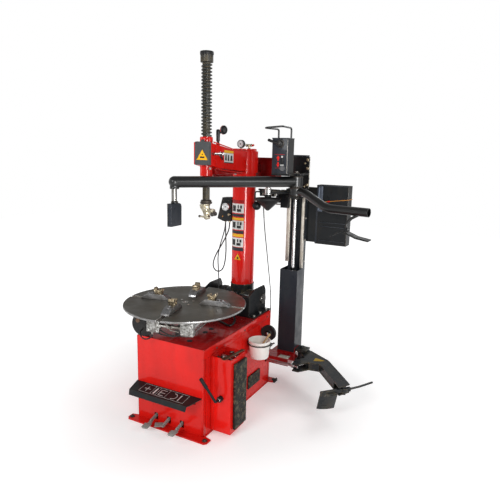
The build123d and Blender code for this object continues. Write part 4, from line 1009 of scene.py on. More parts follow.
def make_lock_box():
    box = Piece("lock_box_cover", lock_grey, "column", "grey_paint")
    corners = [(-0.036, 1.602), (-0.033, 1.5985), (0.067, 1.5985), (0.0698, 1.602), (0.0698, 1.733),
               (0.066, 1.7395), (-0.032, 1.7395), (-0.036, 1.735)]
    box.slab([(x, -0.1005, z) for x, z in corners], (0, -0.0235, 0), 0.0035, 3)
    box.turned((0.012, -0.108, 1.7385), Z, [(0.0115, 0), (0.0115, 0.008), (0.008, 0.013),
                                            (0.003, 0.014)], 24)
    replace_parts(box.done(), "lock_box")
    screws = Piece("lock_box_screws", dark_steel, "column", "bright_steel")
    for x in (-0.028, 0.062):
        for z in (1.607, 1.731):
            screws.turned((x, -0.1242, z), -Y, [(0.0042, -0.001), (0.0042, 0.0012), (0.003, 0.002)], 18)
    screws.done()
    sign = Piece("lock_box_triangle", yellow_paint, "column", "yellow_brass")
    front = -0.1243
    sign.slab([(-0.022, front, 1.629), (0.06, front, 1.629), (0.02, front, 1.692)], (0, -0.0006, 0), 0.0)
    sign.done(smooth=False)
    line = Piece("lock_box_triangle_mark", black_plastic, "column", "black_paint")
    line.slab([(0.004, front - 0.0007, 1.641), (0.036, front - 0.0007, 1.641),
               (0.036, front - 0.0007, 1.65), (0.004, front - 0.0007, 1.65)], (0, -0.0004, 0), 0.0)
    line.turned((0.02, front - 0.0007, 1.663), -Y, [(0.0042, 0), (0.0042, 0.0004)], 18)
    line.done(smooth=False)
    pin = Piece("arm_lock_pin", chrome, "column", "hard_chrome")
    pin.rod([(0.0585, -0.071, 1.667), (0.075, -0.071, 1.667), (0.077, 0.02, 1.667)], 0.0068, 18)
    pin.turned((0.077, 0.02, 1.667), Y, [(0.0065, -0.004), (0.0135, -0.003), (0.0135, 0.003),
                                         (0.0065, 0.004)], 24)
    pin.turned((0.058, 0.02, 1.667), X, [(0.015, 0), (0.015, 0.003), (0.009, 0.004), (0.009, 0.016)], 28)
    pin.done()
    catch = Piece("arm_lock_catch", greasy_paint, "column", "black_paint")
    catch.slab([(0.066, 0.008, 1.654), (0.066, 0.03, 1.654), (0.066, 0.044, 1.632),
                (0.066, 0.04, 1.628), (0.066, 0.018, 1.64)], (0.005, 0, 0), 0.001)
    catch.done()


def make_spring():
    """The return spring over the spindle: a wire helix."""
    low, high, turns, wire, radius = 1.7693, 2.2077, 21.5, 0.0056, 0.0283
    spring = Piece("return_spring_wire", spring_steel, "column", "black_paint")
    steps = int(turns * 22)
    points = []
    for i in range(steps + 1):
        share = i / steps
        turn = TAU * turns * share
        z = low + wire + (high - low - 2 * wire) * share
        points.append(Vector((radius * math.cos(turn), -0.048 + radius * math.sin(turn), z)))
    spring.rod(points, wire, 10)
    made = spring.done(angle=60)
    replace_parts(made, "return_spring")
    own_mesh(made)


def make_spindle():
    x, y = 0.0, -0.048
    cap = Piece("spindle_cap", clean_rubber, "spindle", "black_rubber")
    rings, count = [], 96
    for radius, z in ((0.03, 2.2078), (0.035, 2.2076), (0.0376, 2.211), (0.0394, 2.25),
                      (0.0412, 2.252), (0.0416, 2.26), (0.0412, 2.268), (0.0385, 2.2706),
                      (0.027, 2.2706), (0.025, 2.2702), (0.0, 2.2702)):
        ring = []
        for i in range(count):
            fluted = 0.0008 if (i // 3) % 2 and 0.037 < radius < 0.04 else 0.0
            turn = TAU * i / count
            ring.append(cap.mesh.verts.new((x + (max(radius, 0.0002) - fluted) * math.cos(turn),
                                            y + (max(radius, 0.0002) - fluted) * math.sin(turn), z)))
        rings.append(ring)
    cap.ring_faces(rings)
    cap.mesh.faces.new(rings[0][::-1])
    cap.mesh.faces.new(rings[-1])
    cap.done(angle=50)
    flange = Piece("mount_head_flange", dark_steel, "spindle", "grey_iron")
    flange.turned((x, y, 0), Z, [(0.022, 1.355), (0.0365, 1.356), (0.038, 1.359), (0.038, 1.366),
                                 (0.0345, 1.368), (0.0345, 1.376), (0.03, 1.38), (0.024, 1.381)],
                  48)
    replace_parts(flange.done(), "mount_head")
    bolts = Piece("mount_head_bolts", steel, "spindle", "bright_steel")
    for i in range(4):
        turn = math.pi / 4 + i * math.pi / 2
        bolts.bolt((x + 0.0295 * math.cos(turn), y + 0.0295 * math.sin(turn), 1.3675), Z, 0.0085)
    bolts.done()
    tower = Piece("mount_head_tower", pale_brass, "spindle", "yellow_brass")
    tower.turned((x, y, 0), Z, [(0.018, 1.3555), (0.0255, 1.355), (0.0275, 1.348), (0.0225, 1.34),
                                (0.0235, 1.33), (0.027, 1.324), (0.027, 1.312), (0.021, 1.302),
                                (0.01, 1.299)], 36)
    tower.done()
    x += 0.008                                              # the casting sits towards the rim side
    casting = Piece("mount_head_casting", pale_brass, "spindle", "yellow_brass")
    arm = [(-0.034, 1.352), (-0.023, 1.356), (-0.006, 1.34), (0.015, 1.305), (0.02, 1.285),
           (0.018, 1.27), (-0.002, 1.264), (-0.006, 1.278), (-0.017, 1.305), (-0.036, 1.33)]
    casting.slab([(x + a, y - 0.0285, z) for a, z in arm], (0, 0.02, 0), 0.004, 3)
    block = [(0.004, 1.314), (0.01, 1.324), (0.044, 1.324), (0.05, 1.317), (0.054, 1.292),
             (0.048, 1.286), (0.012, 1.29)]
    casting.slab([(x + a, y - 0.0205, z) for a, z in block], (0, 0.041, 0), 0.004, 3)
    casting.rod([(x + 0.014, y - 0.012, 1.2735), (x - 0.018, y - 0.013, 1.272),
                 (x - 0.052, y - 0.013, 1.2735)], 0.0068, 14, taper=(1.3, 1.0, 0.9))
    casting.turned((x + 0.008, y - 0.03, 1.2715), Y, [(0.013, 0), (0.015, 0.003), (0.015, 0.034),
                                                      (0.013, 0.037)], 28)
    casting.rod([(x - 0.035, y - 0.02, 1.344), (x - 0.0365, y + 0.012, 1.344)], 0.0085, 16)
    casting.done()
    foot = Piece("mount_head_roller", dark_steel, "spindle", "grey_iron")
    foot.turned((x + 0.049, y - 0.022, 1.293), Y, [(0.0125, 0), (0.014, 0.002), (0.0125, 0.021),
                                                   (0.014, 0.042), (0.0125, 0.044)], 32)
    foot.rod([(x + 0.044, y, 1.301), (x + 0.062, y, 1.284)], 0.0065, 14)
    foot.turned((x - 0.053, y - 0.013, 1.2735), X, [(0.007, -0.001), (0.0085, 0.001), (0.0085, 0.008),
                                                    (0.006, 0.009)], 18)
    foot.done()


def make_hand_controls():
    grip = Piece("joystick_grip", black_plastic, "joystick", "black_plastic")
    grip.turned((0, 0.088, 0), Z, [(0.0075, 1.7445), (0.0095, 1.746), (0.011, 1.756),
                                   (0.0118, 1.77), (0.0128, 1.793), (0.0132, 1.806),
                                   (0.0122, 1.815), (0.009, 1.8205), (0.004, 1.8225)], 32)
    grip.done(angle=60)
    boot = Piece("joystick_boot", rubber, "joystick", "black_rubber")
    boot.turned((0, 0.088, 0), Z, [(0.0132, 1.7255), (0.0115, 1.73), (0.012, 1.733),
                                   (0.0095, 1.736), (0.0098, 1.739), (0.0075, 1.742),
                                   (0.0066, 1.745)], 28)
    boot.done(angle=60)
    seat = Piece("joystick_seat", dark_steel, "column", "grey_iron")
    seat.turned((0, 0.088, 1.7118), Z, [(0.0195, -0.004), (0.0205, 0.001), (0.019, 0.004),
                                        (0.015, 0.005)], 32)
    seat.turned((-0.019, 0.119, 1.7068), Z, [(0.0145, -0.004), (0.015, 0.001), (0.0135, 0.004),
                                             (0.011, 0.0045)], 32)
    seat.done()
    centre = Vector((0, 0.16, 1.822))
    facing = Vector((0.8, -0.6, 0)).normalized()
    paddle = Piece("release_paddle", black_plastic, "release_lever", "black_plastic")
    paddle.turned(centre, facing, [(0.016, -0.022), (0.0195, -0.019), (0.0208, -0.01), (0.0208, 0.006),
                                   (0.019, 0.015), (0.012, 0.0195), (0.003, 0.021)], 40)
    edge = Piece("release_paddle_edge", red_paint, "release_lever", "red_paint")
    edge.turned(centre, facing, [(0.019, -0.0195), (0.0206, -0.019), (0.0214, -0.015),
                                 (0.021, -0.011)], 40)
    for piece in (paddle, edge):
        for corner in piece.mesh.verts:
            corner.co.z = centre.z + (corner.co.z - centre.z) * 1.38
        piece.done(angle=60)


def dial(name, centre, axis, radius, body, deep=0.022):
    """A pressure dial: rim, pale face, plain tick marks, needle."""
    centre, axis = Vector(centre), Vector(axis).normalized()
    up = Z
    side = axis.cross(up).normalized()
    rim = Piece(name + "_rim", bright_steel if radius > 0.028 else black_plastic, body, "bright_steel")
    rim.turned(centre, axis, [(radius * 0.93, -deep), (radius * 1.02, -deep + 0.002),
                              (radius * 1.02, 0.0005), (radius * 0.97, 0.0035),
                              (radius * 0.88, 0.0035), (radius * 0.86, 0.0008)], 48)
    rim.done()
    face = Piece(name + "_face", dial_white, body, "white_plastic")
    face.turned(centre, axis, [(radius * 0.88, 0.0006), (radius * 0.86, 0.0016),
                               (radius * 0.05, 0.0017)], 48)
    face.done()
    marks = Piece(name + "_marks", black_plastic, body, "black_plastic")
    seat = centre + axis * 0.00175
    for i in range(11):
        turn = math.radians(-225 + 27 * i)
        way = side * math.cos(turn) + up * math.sin(turn) * -1
        across = way.cross(axis) * 0.0007
        inner, outer = seat + way * radius * 0.62, seat + way * radius * 0.8
        marks.slab([inner - across, inner + across, outer + across, outer - across], axis * 0.0004, 0.0)
    way = side * math.cos(0.9) + up * math.sin(0.9)
    across = way.cross(axis) * 0.0013
    marks.slab([seat - way * radius * 0.18 - across, seat - way * radius * 0.18 + across,
                seat + way * radius * 0.62], axis * 0.0009, 0.0)
    marks.turned(seat, axis, [(0.0042, 0), (0.0038, 0.0016), (0.001, 0.0018)], 20)
    marks.done(smooth=False)


def make_gauges():
    box = Piece("gauge_box_shell", black_paint, "column", "black_paint")
    outline = [(-0.1616, 1.3556), (-0.083, 1.3596), (-0.083, 1.1843), (-0.153, 1.1803), (-0.2036, 1.1983)]
    box.slab([(x, 0.4152, z) for x, z in outline], (0, 0.0646, 0), 0.0035, 3)
    box.slab([(-0.165, 0.4135, 1.33), (-0.085, 0.4135, 1.334), (-0.085, 0.4135, 1.336),
              (-0.164, 0.4135, 1.332)], (0, 0.002, 0), 0.0005)
    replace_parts(box.done(), "gauge_box")
    dial("tyre_dial", (-0.122, 0.3945, 1.29), -Y, 0.029, "column")
    knob = Piece("gauge_box_fittings", brass, "column", "yellow_brass")
    for x, y in ((-0.105, 0.43), (-0.148, 0.444), (-0.16, 0.462)):
        knob.turned((x, y, 1.1745), Z, [(0.0082, 0), (0.009, 0.002), (0.009, 0.011), (0.0082, 0.013)], 6)
    knob.turned((-0.0965, 0.415, 1.235), -Y, [(0.007, 0), (0.007, 0.006), (0.009, 0.0065),
                                              (0.009, 0.016), (0.006, 0.018)], 20)
    knob.done()
    spot = Piece("gauge_box_plug", orange_cord, "column", "yellow_brass")
    spot.turned((-0.156, 0.415, 1.216), -Y, [(0.0045, 0), (0.0045, 0.003), (0.003, 0.004)], 20)
    spot.done()
    dial("supply_dial", (-0.005, 0.3945, 1.739), -Y, 0.027, "column", 0.021)
    tee = Piece("supply_tee", brass, "column", "yellow_brass")
    tee.turned((0.05, 0.42, 1.699), Z, [(0.011, 0), (0.011, 0.008), (0.0075, 0.01), (0.0075, 0.024),
                                        (0.0105, 0.025), (0.0105, 0.036), (0.007, 0.04)], 6)
    tee.turned((0.023, 0.42, 1.73), X, [(0.0075, 0), (0.01, 0.002), (0.01, 0.012), (0.008, 0.013),
                                        (0.008, 0.04), (0.0098, 0.041), (0.0098, 0.049), (0.0075, 0.05)], 6)
    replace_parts(tee.done(), "pressure_gauges")
    tip = Piece("supply_tee_tap", red_paint, "column", "red_paint")
    tip.rod([(0.0725, 0.42, 1.73), (0.079, 0.42, 1.73), (0.086, 0.418, 1.733)], 0.0072, 16)
    tip.done()
    stem = Piece("dial_stems", brass, "column", "yellow_brass")
    stem.turned((-0.005, 0.405, 1.699), Z, [(0.0085, 0), (0.0085, 0.006), (0.0065, 0.008),
                                            (0.0065, 0.016)], 6)
    stem.turned((0.0525, 0.5035, 1.34), Vector((1, 1, 0)),
                [(0.0075, 0), (0.0075, 0.014), (0.006, 0.016)], 6)
    stem.done()


# ---- helper mast and arms --------------------------------------------------------------------
PRESSER = Vector((-0.044, -0.32, 0))
CONE_LOW, CONE_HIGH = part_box("press_cone")
CONE_AT = Vector(((CONE_LOW.x + CONE_HIGH.x) / 2, (CONE_LOW.y + CONE_HIGH.y) / 2, 0))


def make_presser():
    shaft = Piece("presser_shaft", steel, "presser", "hard_chrome")
    shaft.turned(PRESSER, Z, [(0.012, 1.37), (0.0138, 1.3702), (0.0138, 1.47), (0.0215, 1.4702),
                              (0.022, 1.4715), (0.022, 1.477), (0.02, 1.478)], 40)
    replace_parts(shaft.done(), "bead_presser")
    sleeve = Piece("presser_collar", greasy_paint, "presser", "black_paint")
    sleeve.turned(PRESSER, Z, [(0.014, 1.374), (0.0205, 1.3745), (0.0215, 1.3765), (0.0215, 1.386),
                               (0.015, 1.39), (0.014, 1.39)], 40)
    for side in (-1, 1):
        edge = PRESSER + Vector((side * 0.0132, -0.004, 0))
        sleeve.slab([edge + Vector((-0.0012, -0.006, 1.386)), edge + Vector((0.0012, -0.006, 1.386)),
                     edge + Vector((0.0012, 0.006, 1.386)), edge + Vector((-0.0012, 0.006, 1.386))],
                     (0, 0, 0.074), 0.0004)
    sleeve.done()
    pad = Piece("presser_pad", slate_paint, "presser", "black_paint")
    low, high = PRESSER.y - 0.052, PRESSER.y + 0.052
    side = [(low, 1.2402), (high - 0.004, 1.2402), (high, 1.245), (high, 1.356), (high - 0.006, 1.37),
            (high - 0.02, 1.3758), (low + 0.01, 1.3758), (low, 1.374)]
    pad.slab([(PRESSER.x - 0.009, y, z) for y, z in side], (0.0229, 0, 0), 0.004, 4)
    pad.done()
    face = Piece("presser_face", pad_rubber, "presser", "black_rubber")
    face.slab([(PRESSER.x - 0.0139, y, z) for y, z in
               [(low - 0.0005, 1.24), (high - 0.006, 1.24), (high - 0.006, 1.364),
                (low - 0.0005, 1.364)]], (0.0052, 0, 0), 0.001)
    for i in range(17):
        z = 1.244 + i * 0.007
        face.slab([(PRESSER.x - 0.015, low - 0.0022, z), (PRESSER.x - 0.0085, low - 0.0022, z),
                   (PRESSER.x - 0.0085, low - 0.0022, z + 0.0036),
                   (PRESSER.x - 0.015, low - 0.0022, z + 0.0036)], (0, 0.094, 0), 0.0008, 1)
    face.slab([(PRESSER.x - 0.015, low - 0.001, 1.364), (PRESSER.x - 0.015, low - 0.001, 1.376),
               (PRESSER.x - 0.006, low - 0.001, 1.376), (PRESSER.x - 0.006, low - 0.001, 1.364)],
              (0, 0.08, 0), 0.0015)
    face.done()


def make_press_cone():
    cone = Piece("press_cone_body", clean_rubber, "press_cone", "black_plastic")
    profile = [(0.0, 1.2842), (0.006, 1.2846), (0.01, 1.2862), (0.03, 1.3045), (0.031, 1.3052),
               (0.058, 1.33), (0.059, 1.3308), (0.0862, 1.356), (0.0895, 1.361), (0.0902, 1.366),
               (0.0893, 1.3705), (0.086, 1.3718), (0.03, 1.3762), (0.024, 1.38), (0.0235, 1.39),
               (0.02, 1.3948), (0.0125, 1.3952)]
    cone.turned(CONE_AT, Z, profile, 72)
    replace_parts(cone.done(), "press_cone")
    shaft = Piece("press_cone_shaft", bright_steel, "press_cone", "bright_steel")
    shaft.turned(CONE_AT, Z, [(0.0115, 1.395), (0.0118, 1.436), (0.017, 1.4366), (0.017, 1.445),
                              (0.015, 1.4459)], 36)
    shaft.turned(CONE_AT, Z, [(0.015, 1.388), (0.0185, 1.389), (0.0185, 1.3935), (0.015, 1.395)], 6)
    shaft.turned(CONE_AT, Z, [(0.016, 1.4363), (0.019, 1.437), (0.019, 1.4425), (0.016, 1.444)], 6)
    shaft.done()
    collar = Piece("cone_arm_collars", bright_steel, "cone_arm", "bright_steel")
    collar.turned(CONE_AT, Z, [(0.0238, 1.3957), (0.027, 1.3965), (0.0275, 1.4), (0.027, 1.404),
                               (0.0252, 1.406), (0.0246, 1.41), (0.0246, 1.433), (0.0238, 1.4362)], 48)
    collar.done()
    link = Piece("cone_arm_bolts", brass, "cone_arm", "yellow_brass")
    pin_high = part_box("cone_arm")[1]
    pin = Vector((pin_high.x - 0.024, pin_high.y - 0.024, 0))
    way = (CONE_AT - pin).normalized()
    for share in (0.3, 0.52, 0.72):
        link.bolt(pin + (CONE_AT - pin) * share + Z * 1.418, Z, 0.012)
    across = Vector((-way.y, way.x, 0))
    link.done()
    guard = Piece("cone_arm_guard", ivory_steel, "cone_arm", "bright_steel")
    guard.slab([(0.128, 0.478, 1.379), (0.236, 0.478, 1.379), (0.262, 0.478, 1.43),
                (0.108, 0.478, 1.43)], (0, 0.004, 0), 0.001)
    guard.done()
    struts = Piece("cone_arm_struts", black_plastic, "cone_arm", "black_plastic")
    for low, high in ((0.118, 0.112), (0.15, 0.143), (0.214, 0.221), (0.246, 0.262)):
        struts.slab([(low, 0.47, 1.3785), (low + 0.013, 0.47, 1.3785), (high + 0.015, 0.47, 1.4305),
                     (high, 0.47, 1.4305)], (0, 0.008, 0), 0.0014)
    struts.slab([(0.106, 0.468, 1.418), (0.266, 0.468, 1.418), (0.266, 0.468, 1.431),
                 (0.106, 0.468, 1.431)], (0, 0.014, 0), 0.002)
    struts.done()
    rib = Piece("cone_arm_ribs", greasy_paint, "cone_arm", "black_paint")
    for side in (-1, 1):
        start = pin + way * 0.03 + across * side * 0.0165 + Z * 1.4178
        end = pin + way * 0.15 + across * side * 0.0165 + Z * 1.4178
        rib.slab([start - across * 0.0015, start + across * 0.0015, end + across * 0.0015,
                  end - across * 0.0015], (0, 0, 0.007), 0.0006)
    rib.done()


def make_mast_trim():
    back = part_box("mast")[1].y
    rail = Piece("mast_rail_edges", ivory_steel, "root", "bright_steel")
    front = 0.6385
    rail.box((0.376, front, 0.85), (0.3935, 0.6403, 1.4365), 0.0008)
    rail.box((0.3936, 0.643, 0.85), (0.3952, 0.656, 1.4365), 0.0006)
    rail.done()
    bar = Piece("guide_bar_cover", ivory_steel, "carriage", "bright_steel")
    bar.box((0.2765, 0.5965, 0.9005), (0.3035, 0.6135, 1.4195), 0.0016)
    bar.done()
    lips = Piece("mast_box_rim", slate_paint, "root", "black_paint")
    lips.box((0.28, back - 0.0002, 0.23), (0.2835, back + 0.003, 1.64), 0.001)
    lips.done()
    bolts = Piece("mast_bolts", steel, "root", "bright_steel")
    for z in (0.9, 1.06, 1.22, 1.38):
        bolts.bolt((0.396, 0.672, z), X, 0.011)
    for y in (0.585, 0.68):
        bolts.bolt((0.3985, y, 0.2165), Z, 0.014)
    bolts.done()


def make_carriage_trim():
    bolts = Piece("carriage_bolts", brass, "carriage", "yellow_brass")
    for x, z in ((0.329, 1.465), (0.414, 1.465), (0.412, 1.58), (0.412, 1.64), (0.295, 1.64)):
        bolts.bolt((x, 0.6215, z), -Y, 0.0135)
    for z in (1.454, 1.615):
        bolts.turned((0.3955, 0.6215, z), -Y, [(0.0075, 0), (0.0075, 0.01), (0.0055, 0.012)], 6)
    bolts.done()
    pin = Piece("rest_block_pin", steel, "carriage", "bright_steel")
    pin.rod([(0.244, 0.565, 1.32), (0.206, 0.565, 1.318)], 0.0048, 16)
    pin.turned((0.244, 0.565, 1.32), -X, [(0.008, -0.001), (0.008, 0.004), (0.006, 0.006)], 6)
    pin.done()
    edge = Piece("carriage_plate_edge", ivory_steel, "carriage", "bright_steel")
    for start, length in ((1.442, 0.06), (1.518, 0.03), (1.556, 0.08), (1.642, 0.014)):
        edge.box((0.4252, 0.624, start), (0.4262, 0.634, start + length), 0.0004)
    edge.done()
    hub = Piece("helper_hub_caps", dark_steel, "carriage", "bright_steel")
    arm_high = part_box("main_arm")[1]
    centre = Vector((arm_high.x - 0.044, arm_high.y - 0.044, 0))
    hub.turned(centre, Z, [(0.015, 1.547), (0.022, 1.5471), (0.022, 1.55), (0.015, 1.552)], 36)
    hub.bolt(centre + Z * 1.551, Z, 0.024)
    hub.turned(centre, Z, [(0.012, 1.37), (0.0185, 1.371), (0.0185, 1.38), (0.012, 1.3801)], 6)
    hub.done()
    rings = Piece("main_arm_hub_rings", dark_steel, "main_arm", "bright_steel")
    for low in (1.4562, 1.524):
        rings.turned(centre, Z, [(0.044, low), (0.0456, low + 0.0006), (0.0456, low + 0.005),
                                 (0.044, low + 0.0058)], 56)
    rings.done()
    collars = Piece("helper_arm_hub_rings", dark_steel, "helper_arm", "bright_steel")
    for low in (1.3962, 1.446):
        collars.turned(centre, Z, [(0.042, low), (0.0435, low + 0.0006), (0.0435, low + 0.0048),
                                   (0.042, low + 0.0056)], 56)
    collars.done()


def make_main_arm_cap():
    cap = Piece("main_arm_socket", greasy_paint, "main_arm", "black_paint")
    cap.turned(PRESSER, Z, [(0.015, 1.4605), (0.0262, 1.4606), (0.0274, 1.462), (0.0274, 1.472),
                            (0.0262, 1.474)], 48)
    cap.done()


def make_control_box_trim():
    front, west, east = 0.31, 0.28, 0.396
    cover = Piece("control_box_edges", slate_paint, "carriage", "black_paint")
    cover.box((west + 0.004, front - 0.0012, 1.55), (east - 0.006, front + 0.001, 1.775), 0.0008)
    cover.box((west - 0.001, front - 0.002, 1.7735), (east + 0.001, 0.4125, 1.7795), 0.0022, 3)
    cover.box((east - 0.001, 0.316, 1.55), (east + 0.0012, 0.33, 1.774), 0.0006)
    cover.done()
    shine = Piece("control_box_highlight", steel, "carriage", "bright_steel")
    shine.box((east - 0.007, front - 0.0016, 1.55), (east - 0.003, front - 0.0006, 1.772), 0.0004)
    shine.done()
    marks = Piece("control_arrows", red_mark, "carriage", "red_paint")
    seat = front - 0.0014

    def arrow(tip, base, shaft_end):
        x = 0.328
        marks.slab([(x, seat, tip), (x + 0.0125, seat, base), (x - 0.0125, seat, base)], (0, -0.0006, 0),
                   0.0)
        marks.slab([(x - 0.0065, seat, base), (x + 0.0065, seat, base), (x + 0.0045, seat, shaft_end),
                    (x - 0.0045, seat, shaft_end)], (0, -0.0006, 0), 0.0)

    arrow(1.667, 1.648, 1.632)
    arrow(1.589, 1.608, 1.624)
    marks.slab([(0.303, seat, 1.672), (0.372, seat, 1.672), (0.372, seat, 1.6738),
                (0.303, seat, 1.6738)], (0, -0.0005, 0), 0.0)
    marks.slab([(0.308, seat, 1.584), (0.374, seat, 1.584), (0.374, seat, 1.5858),
                (0.308, seat, 1.5858)], (0, -0.0005, 0), 0.0)
    marks.done(smooth=False)
    switch = Piece("control_switch", black_plastic, "carriage", "black_plastic")
    switch.box((0.348, front - 0.006, 1.612), (0.368, front, 1.648), 0.0015)
    switch.box((0.352, front - 0.011, 1.62), (0.364, front - 0.005, 1.64), 0.002)
    switch.done()
    plates = Piece("control_plates", panel_paint, "carriage", "white_plastic")
    plates.turned((0.3565, front - 0.0012, 1.658), -Y, [(0.0065, 0), (0.0065, 0.0018),
                                                        (0.005, 0.0024)], 24)
    plates.box((0.3445, front - 0.003, 1.6), (0.37, front, 1.608), 0.0008)
    plates.done()
    knob = Piece("control_knob_grey", grey_plastic, "carriage", "black_plastic")
    knob.turned((0.362, front - 0.0012, 1.584), -Y, [(0.0175, 0), (0.0175, 0.004), (0.016, 0.0055),
                                                     (0.015, 0.016), (0.0135, 0.0175),
                                                     (0.004, 0.0178)], 36)
    knob.done()
    ring = Piece("control_lever_ring", dark_steel, "carriage", "bright_steel")
    ring.turned((0.341, front - 0.0012, 1.742), -Y, [(0.0225, 0), (0.0262, 0.001), (0.0262, 0.005),
                                                     (0.0235, 0.0062)], 48)
    ring.done()
    handle = Piece("control_lever_knob", black_plastic, "control_lever", "black_plastic")
    handle.turned((0.341, 0.2885, 1.742), -Y, [(0.0205, -0.012), (0.0222, -0.004), (0.0215, 0.001),
                                               (0.018, 0.005), (0.008, 0.0068), (0.002, 0.007)], 40)
    handle.rod([(0.341, 0.288, 1.742), (0.3, 0.289, 1.7525), (0.27, 0.2845, 1.763),
                (0.263, 0.2835, 1.7655)], 0.0085, 16, taper=(1.1, 0.95, 1.15, 0.95))
    handle.done()
    spot = Piece("control_lever_cap", dark_steel, "control_lever", "bright_steel")
    spot.turned((0.341, 0.2815, 1.742), -Y, [(0.0075, -0.001), (0.0075, 0.0012), (0.0055, 0.002)], 24)
    spot.done()


def make_rear_box_trim():
    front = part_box("mast")[1].y
    trim = Piece("rear_box_ledges", slate_paint, "root", "black_paint")
    for z in (1.197, 1.168, 1.064):
        trim.box((0.489, front - 0.0065, z - 0.0025), (0.687, front + 0.0005, z + 0.0025), 0.0012)
    trim.box((0.464, front - 0.0035, 1.038), (0.476, front + 0.0005, 1.462), 0.001)
    trim.box((0.462, front - 0.003, 1.4575), (0.698, front + 0.0005, 1.464), 0.001)
    trim.done()
    hinges = Piece("rear_box_hinges", blue_steel, "root", "bright_steel")
    for z0, z1 in ((1.36, 1.456), (1.274, 1.334)):
        hinges.box((0.4785, front - 0.003, z0), (0.509, front + 0.0003, z1), 0.001)
        hinges.turned((0.479, front - 0.003, z0 + 0.004), Z,
                      [(0.0035, 0), (0.0045, 0.001), (0.0045, z1 - z0 - 0.01),
                       (0.0035, z1 - z0 - 0.008)], 20)
        for z in (z0 + 0.012, z1 - 0.014):
            hinges.turned((0.498, front - 0.003, z), -Y, [(0.0042, 0), (0.0042, 0.0012),
                                                          (0.003, 0.0018)], 18)
    hinges.done()
    sheen = Piece("rear_box_edge", dark_steel, "root", "bright_steel")
    sheen.box((0.6945, front - 0.0012, 1.042), (0.6985, front + 0.0004, 1.456), 0.0008)
    sheen.done()


def make_tie():
    """A taut orange tie round the rear box, with its red end."""
    band = Piece("rear_box_tie", orange_cord, "root", "yellow_brass")
    corners = [(0.508, 0.699, 1.344), (0.6995, 0.6985, 1.369), (0.7003, 0.787, 1.369)]
    band.rod(corners, 0.0022, 10)
    band.rod([(0.508, 0.699, 1.344), (0.5, 0.7005, 1.33), (0.498, 0.7005, 1.306)], 0.002, 10)
    band.turned((0.5075, 0.6985, 1.344), Vector((1, 0, 0.13)),
                [(0.0035, -0.004), (0.0045, -0.002), (0.0045, 0.004), (0.0035, 0.006)], 16)
    band.done(angle=60)
    knot = Piece("rear_box_tie_ends", red_mark, "root", "red_paint")
    knot.turned((0.546, 0.6985, 1.349), Vector((1, 0, 0.13)),
                [(0.003, 0), (0.0046, 0.002), (0.0046, 0.016), (0.003, 0.018)], 16)
    knot.done()


def make_bead_arm_trim():
    top = 0.2302
    sticker = Piece("bead_arm_panel", worn_yellow, "bead_arm", "yellow_brass")
    sticker.slab([(0.579, 0.522, top), (0.586, 0.464, top), (0.641, 0.488, top), (0.657, 0.507, top)],
                 (0, 0, 0.0005), 0.0)
    sticker.done(smooth=False)
    bolts = Piece("bead_arm_bolts", steel, "bead_arm", "bright_steel")
    bolts.turned((0.445, 0.6, top), Z, [(0.0175, -0.001), (0.027, -0.0005), (0.027, 0.0035),
                                        (0.018, 0.004)], 40)
    bolts.bolt((0.445, 0.6, top + 0.0035), Z, 0.026)
    bolts.done()
    rim = Piece("bead_arm_fold", greasy_paint, "bead_arm", "black_paint")
    outline = [(0.5, 0.6315), (0.6815, 0.5225), (0.861, 0.3115)]
    for (x0, y0), (x1, y1) in zip(outline, outline[1:]):
        way = Vector((x1 - x0, y1 - y0, 0)).normalized()
        side = Vector((way.y, -way.x, 0))
        start, end = Vector((x0, y0, 0.2285)) + way * 0.006, Vector((x1, y1, 0.2285)) - way * 0.006
        rim.slab([start + side * 0.0015, end + side * 0.0015, end + side * 0.0045,
                  start + side * 0.0045], (0, 0, 0.0045), 0.001)
    rim.done()
    step = Piece("step_plate_tread", ivory_steel, "root", "bright_steel")
    step.box((0.311, 0.4462, 0.2045), (0.3915, 0.4992, 0.2096), 0.0012)
    seat = 0.2103
    for row in range(5):
        for column in range(6):
            place = Vector((0.322 + column * 0.012, 0.455 + row * 0.009, seat))
            if place.y > 0.494:
                continue
            lean = math.pi / 4 if (row + column) % 2 else -math.pi / 4
            step.block(place, (0.0085, 0.0028, 0.0016), lean, 0.0006, 1)
    step.done()
    nuts = Piece("bead_rod_nut", bright_steel, "bead_ram", "bright_steel")
    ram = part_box("bead_rod")
    nuts.turned((ram[1].x - 0.012, (ram[0].y + ram[1].y) / 2, (ram[0].z + ram[1].z) / 2), X,
                [(0.012, 0), (0.0175, 0.001), (0.0175, 0.01), (0.012, 0.011)], 6)
    nuts.done()


def make_lug_covers():
    """Black castings over the lugs that carry the bead arm's pin."""
    lugs = Piece("arm_pin_lugs", greasy_paint, "root", "black_paint")
    for low in (0.15, 0.236):
        lugs.box((0.3995, 0.5588, low - 0.0008), (0.4884, 0.6432, low + 0.0158), 0.0028, 3)
    lugs.turned((0.445, 0.6, 0.2514), Z, [(0.026, 0.0), (0.026, 0.005), (0.02, 0.006),
                                          (0.02, 0.012), (0.017, 0.014)], 40)
    lugs.done()


def make_air_bow():
    """A formed air pipe that bows out over the cabinet's top behind the turntable."""
    bow = Piece("formed_air_pipe", hose_rubber, "root", "black_rubber")
    corners = [(0.024, 0.11, 0.556), (0.024, 0.085, 0.562), (0.06, 0.03, 0.564), (0.116, 0.004, 0.564),
               (0.165, -0.026, 0.565), (0.186, -0.012, 0.568), (0.16, 0.075, 0.57),
               (0.094, 0.161, 0.572), (0.05, 0.2, 0.574)]
    bow.rod(route_points("formed_air_pipe", corners), 0.0065, 16)
    bow.done(angle=60)


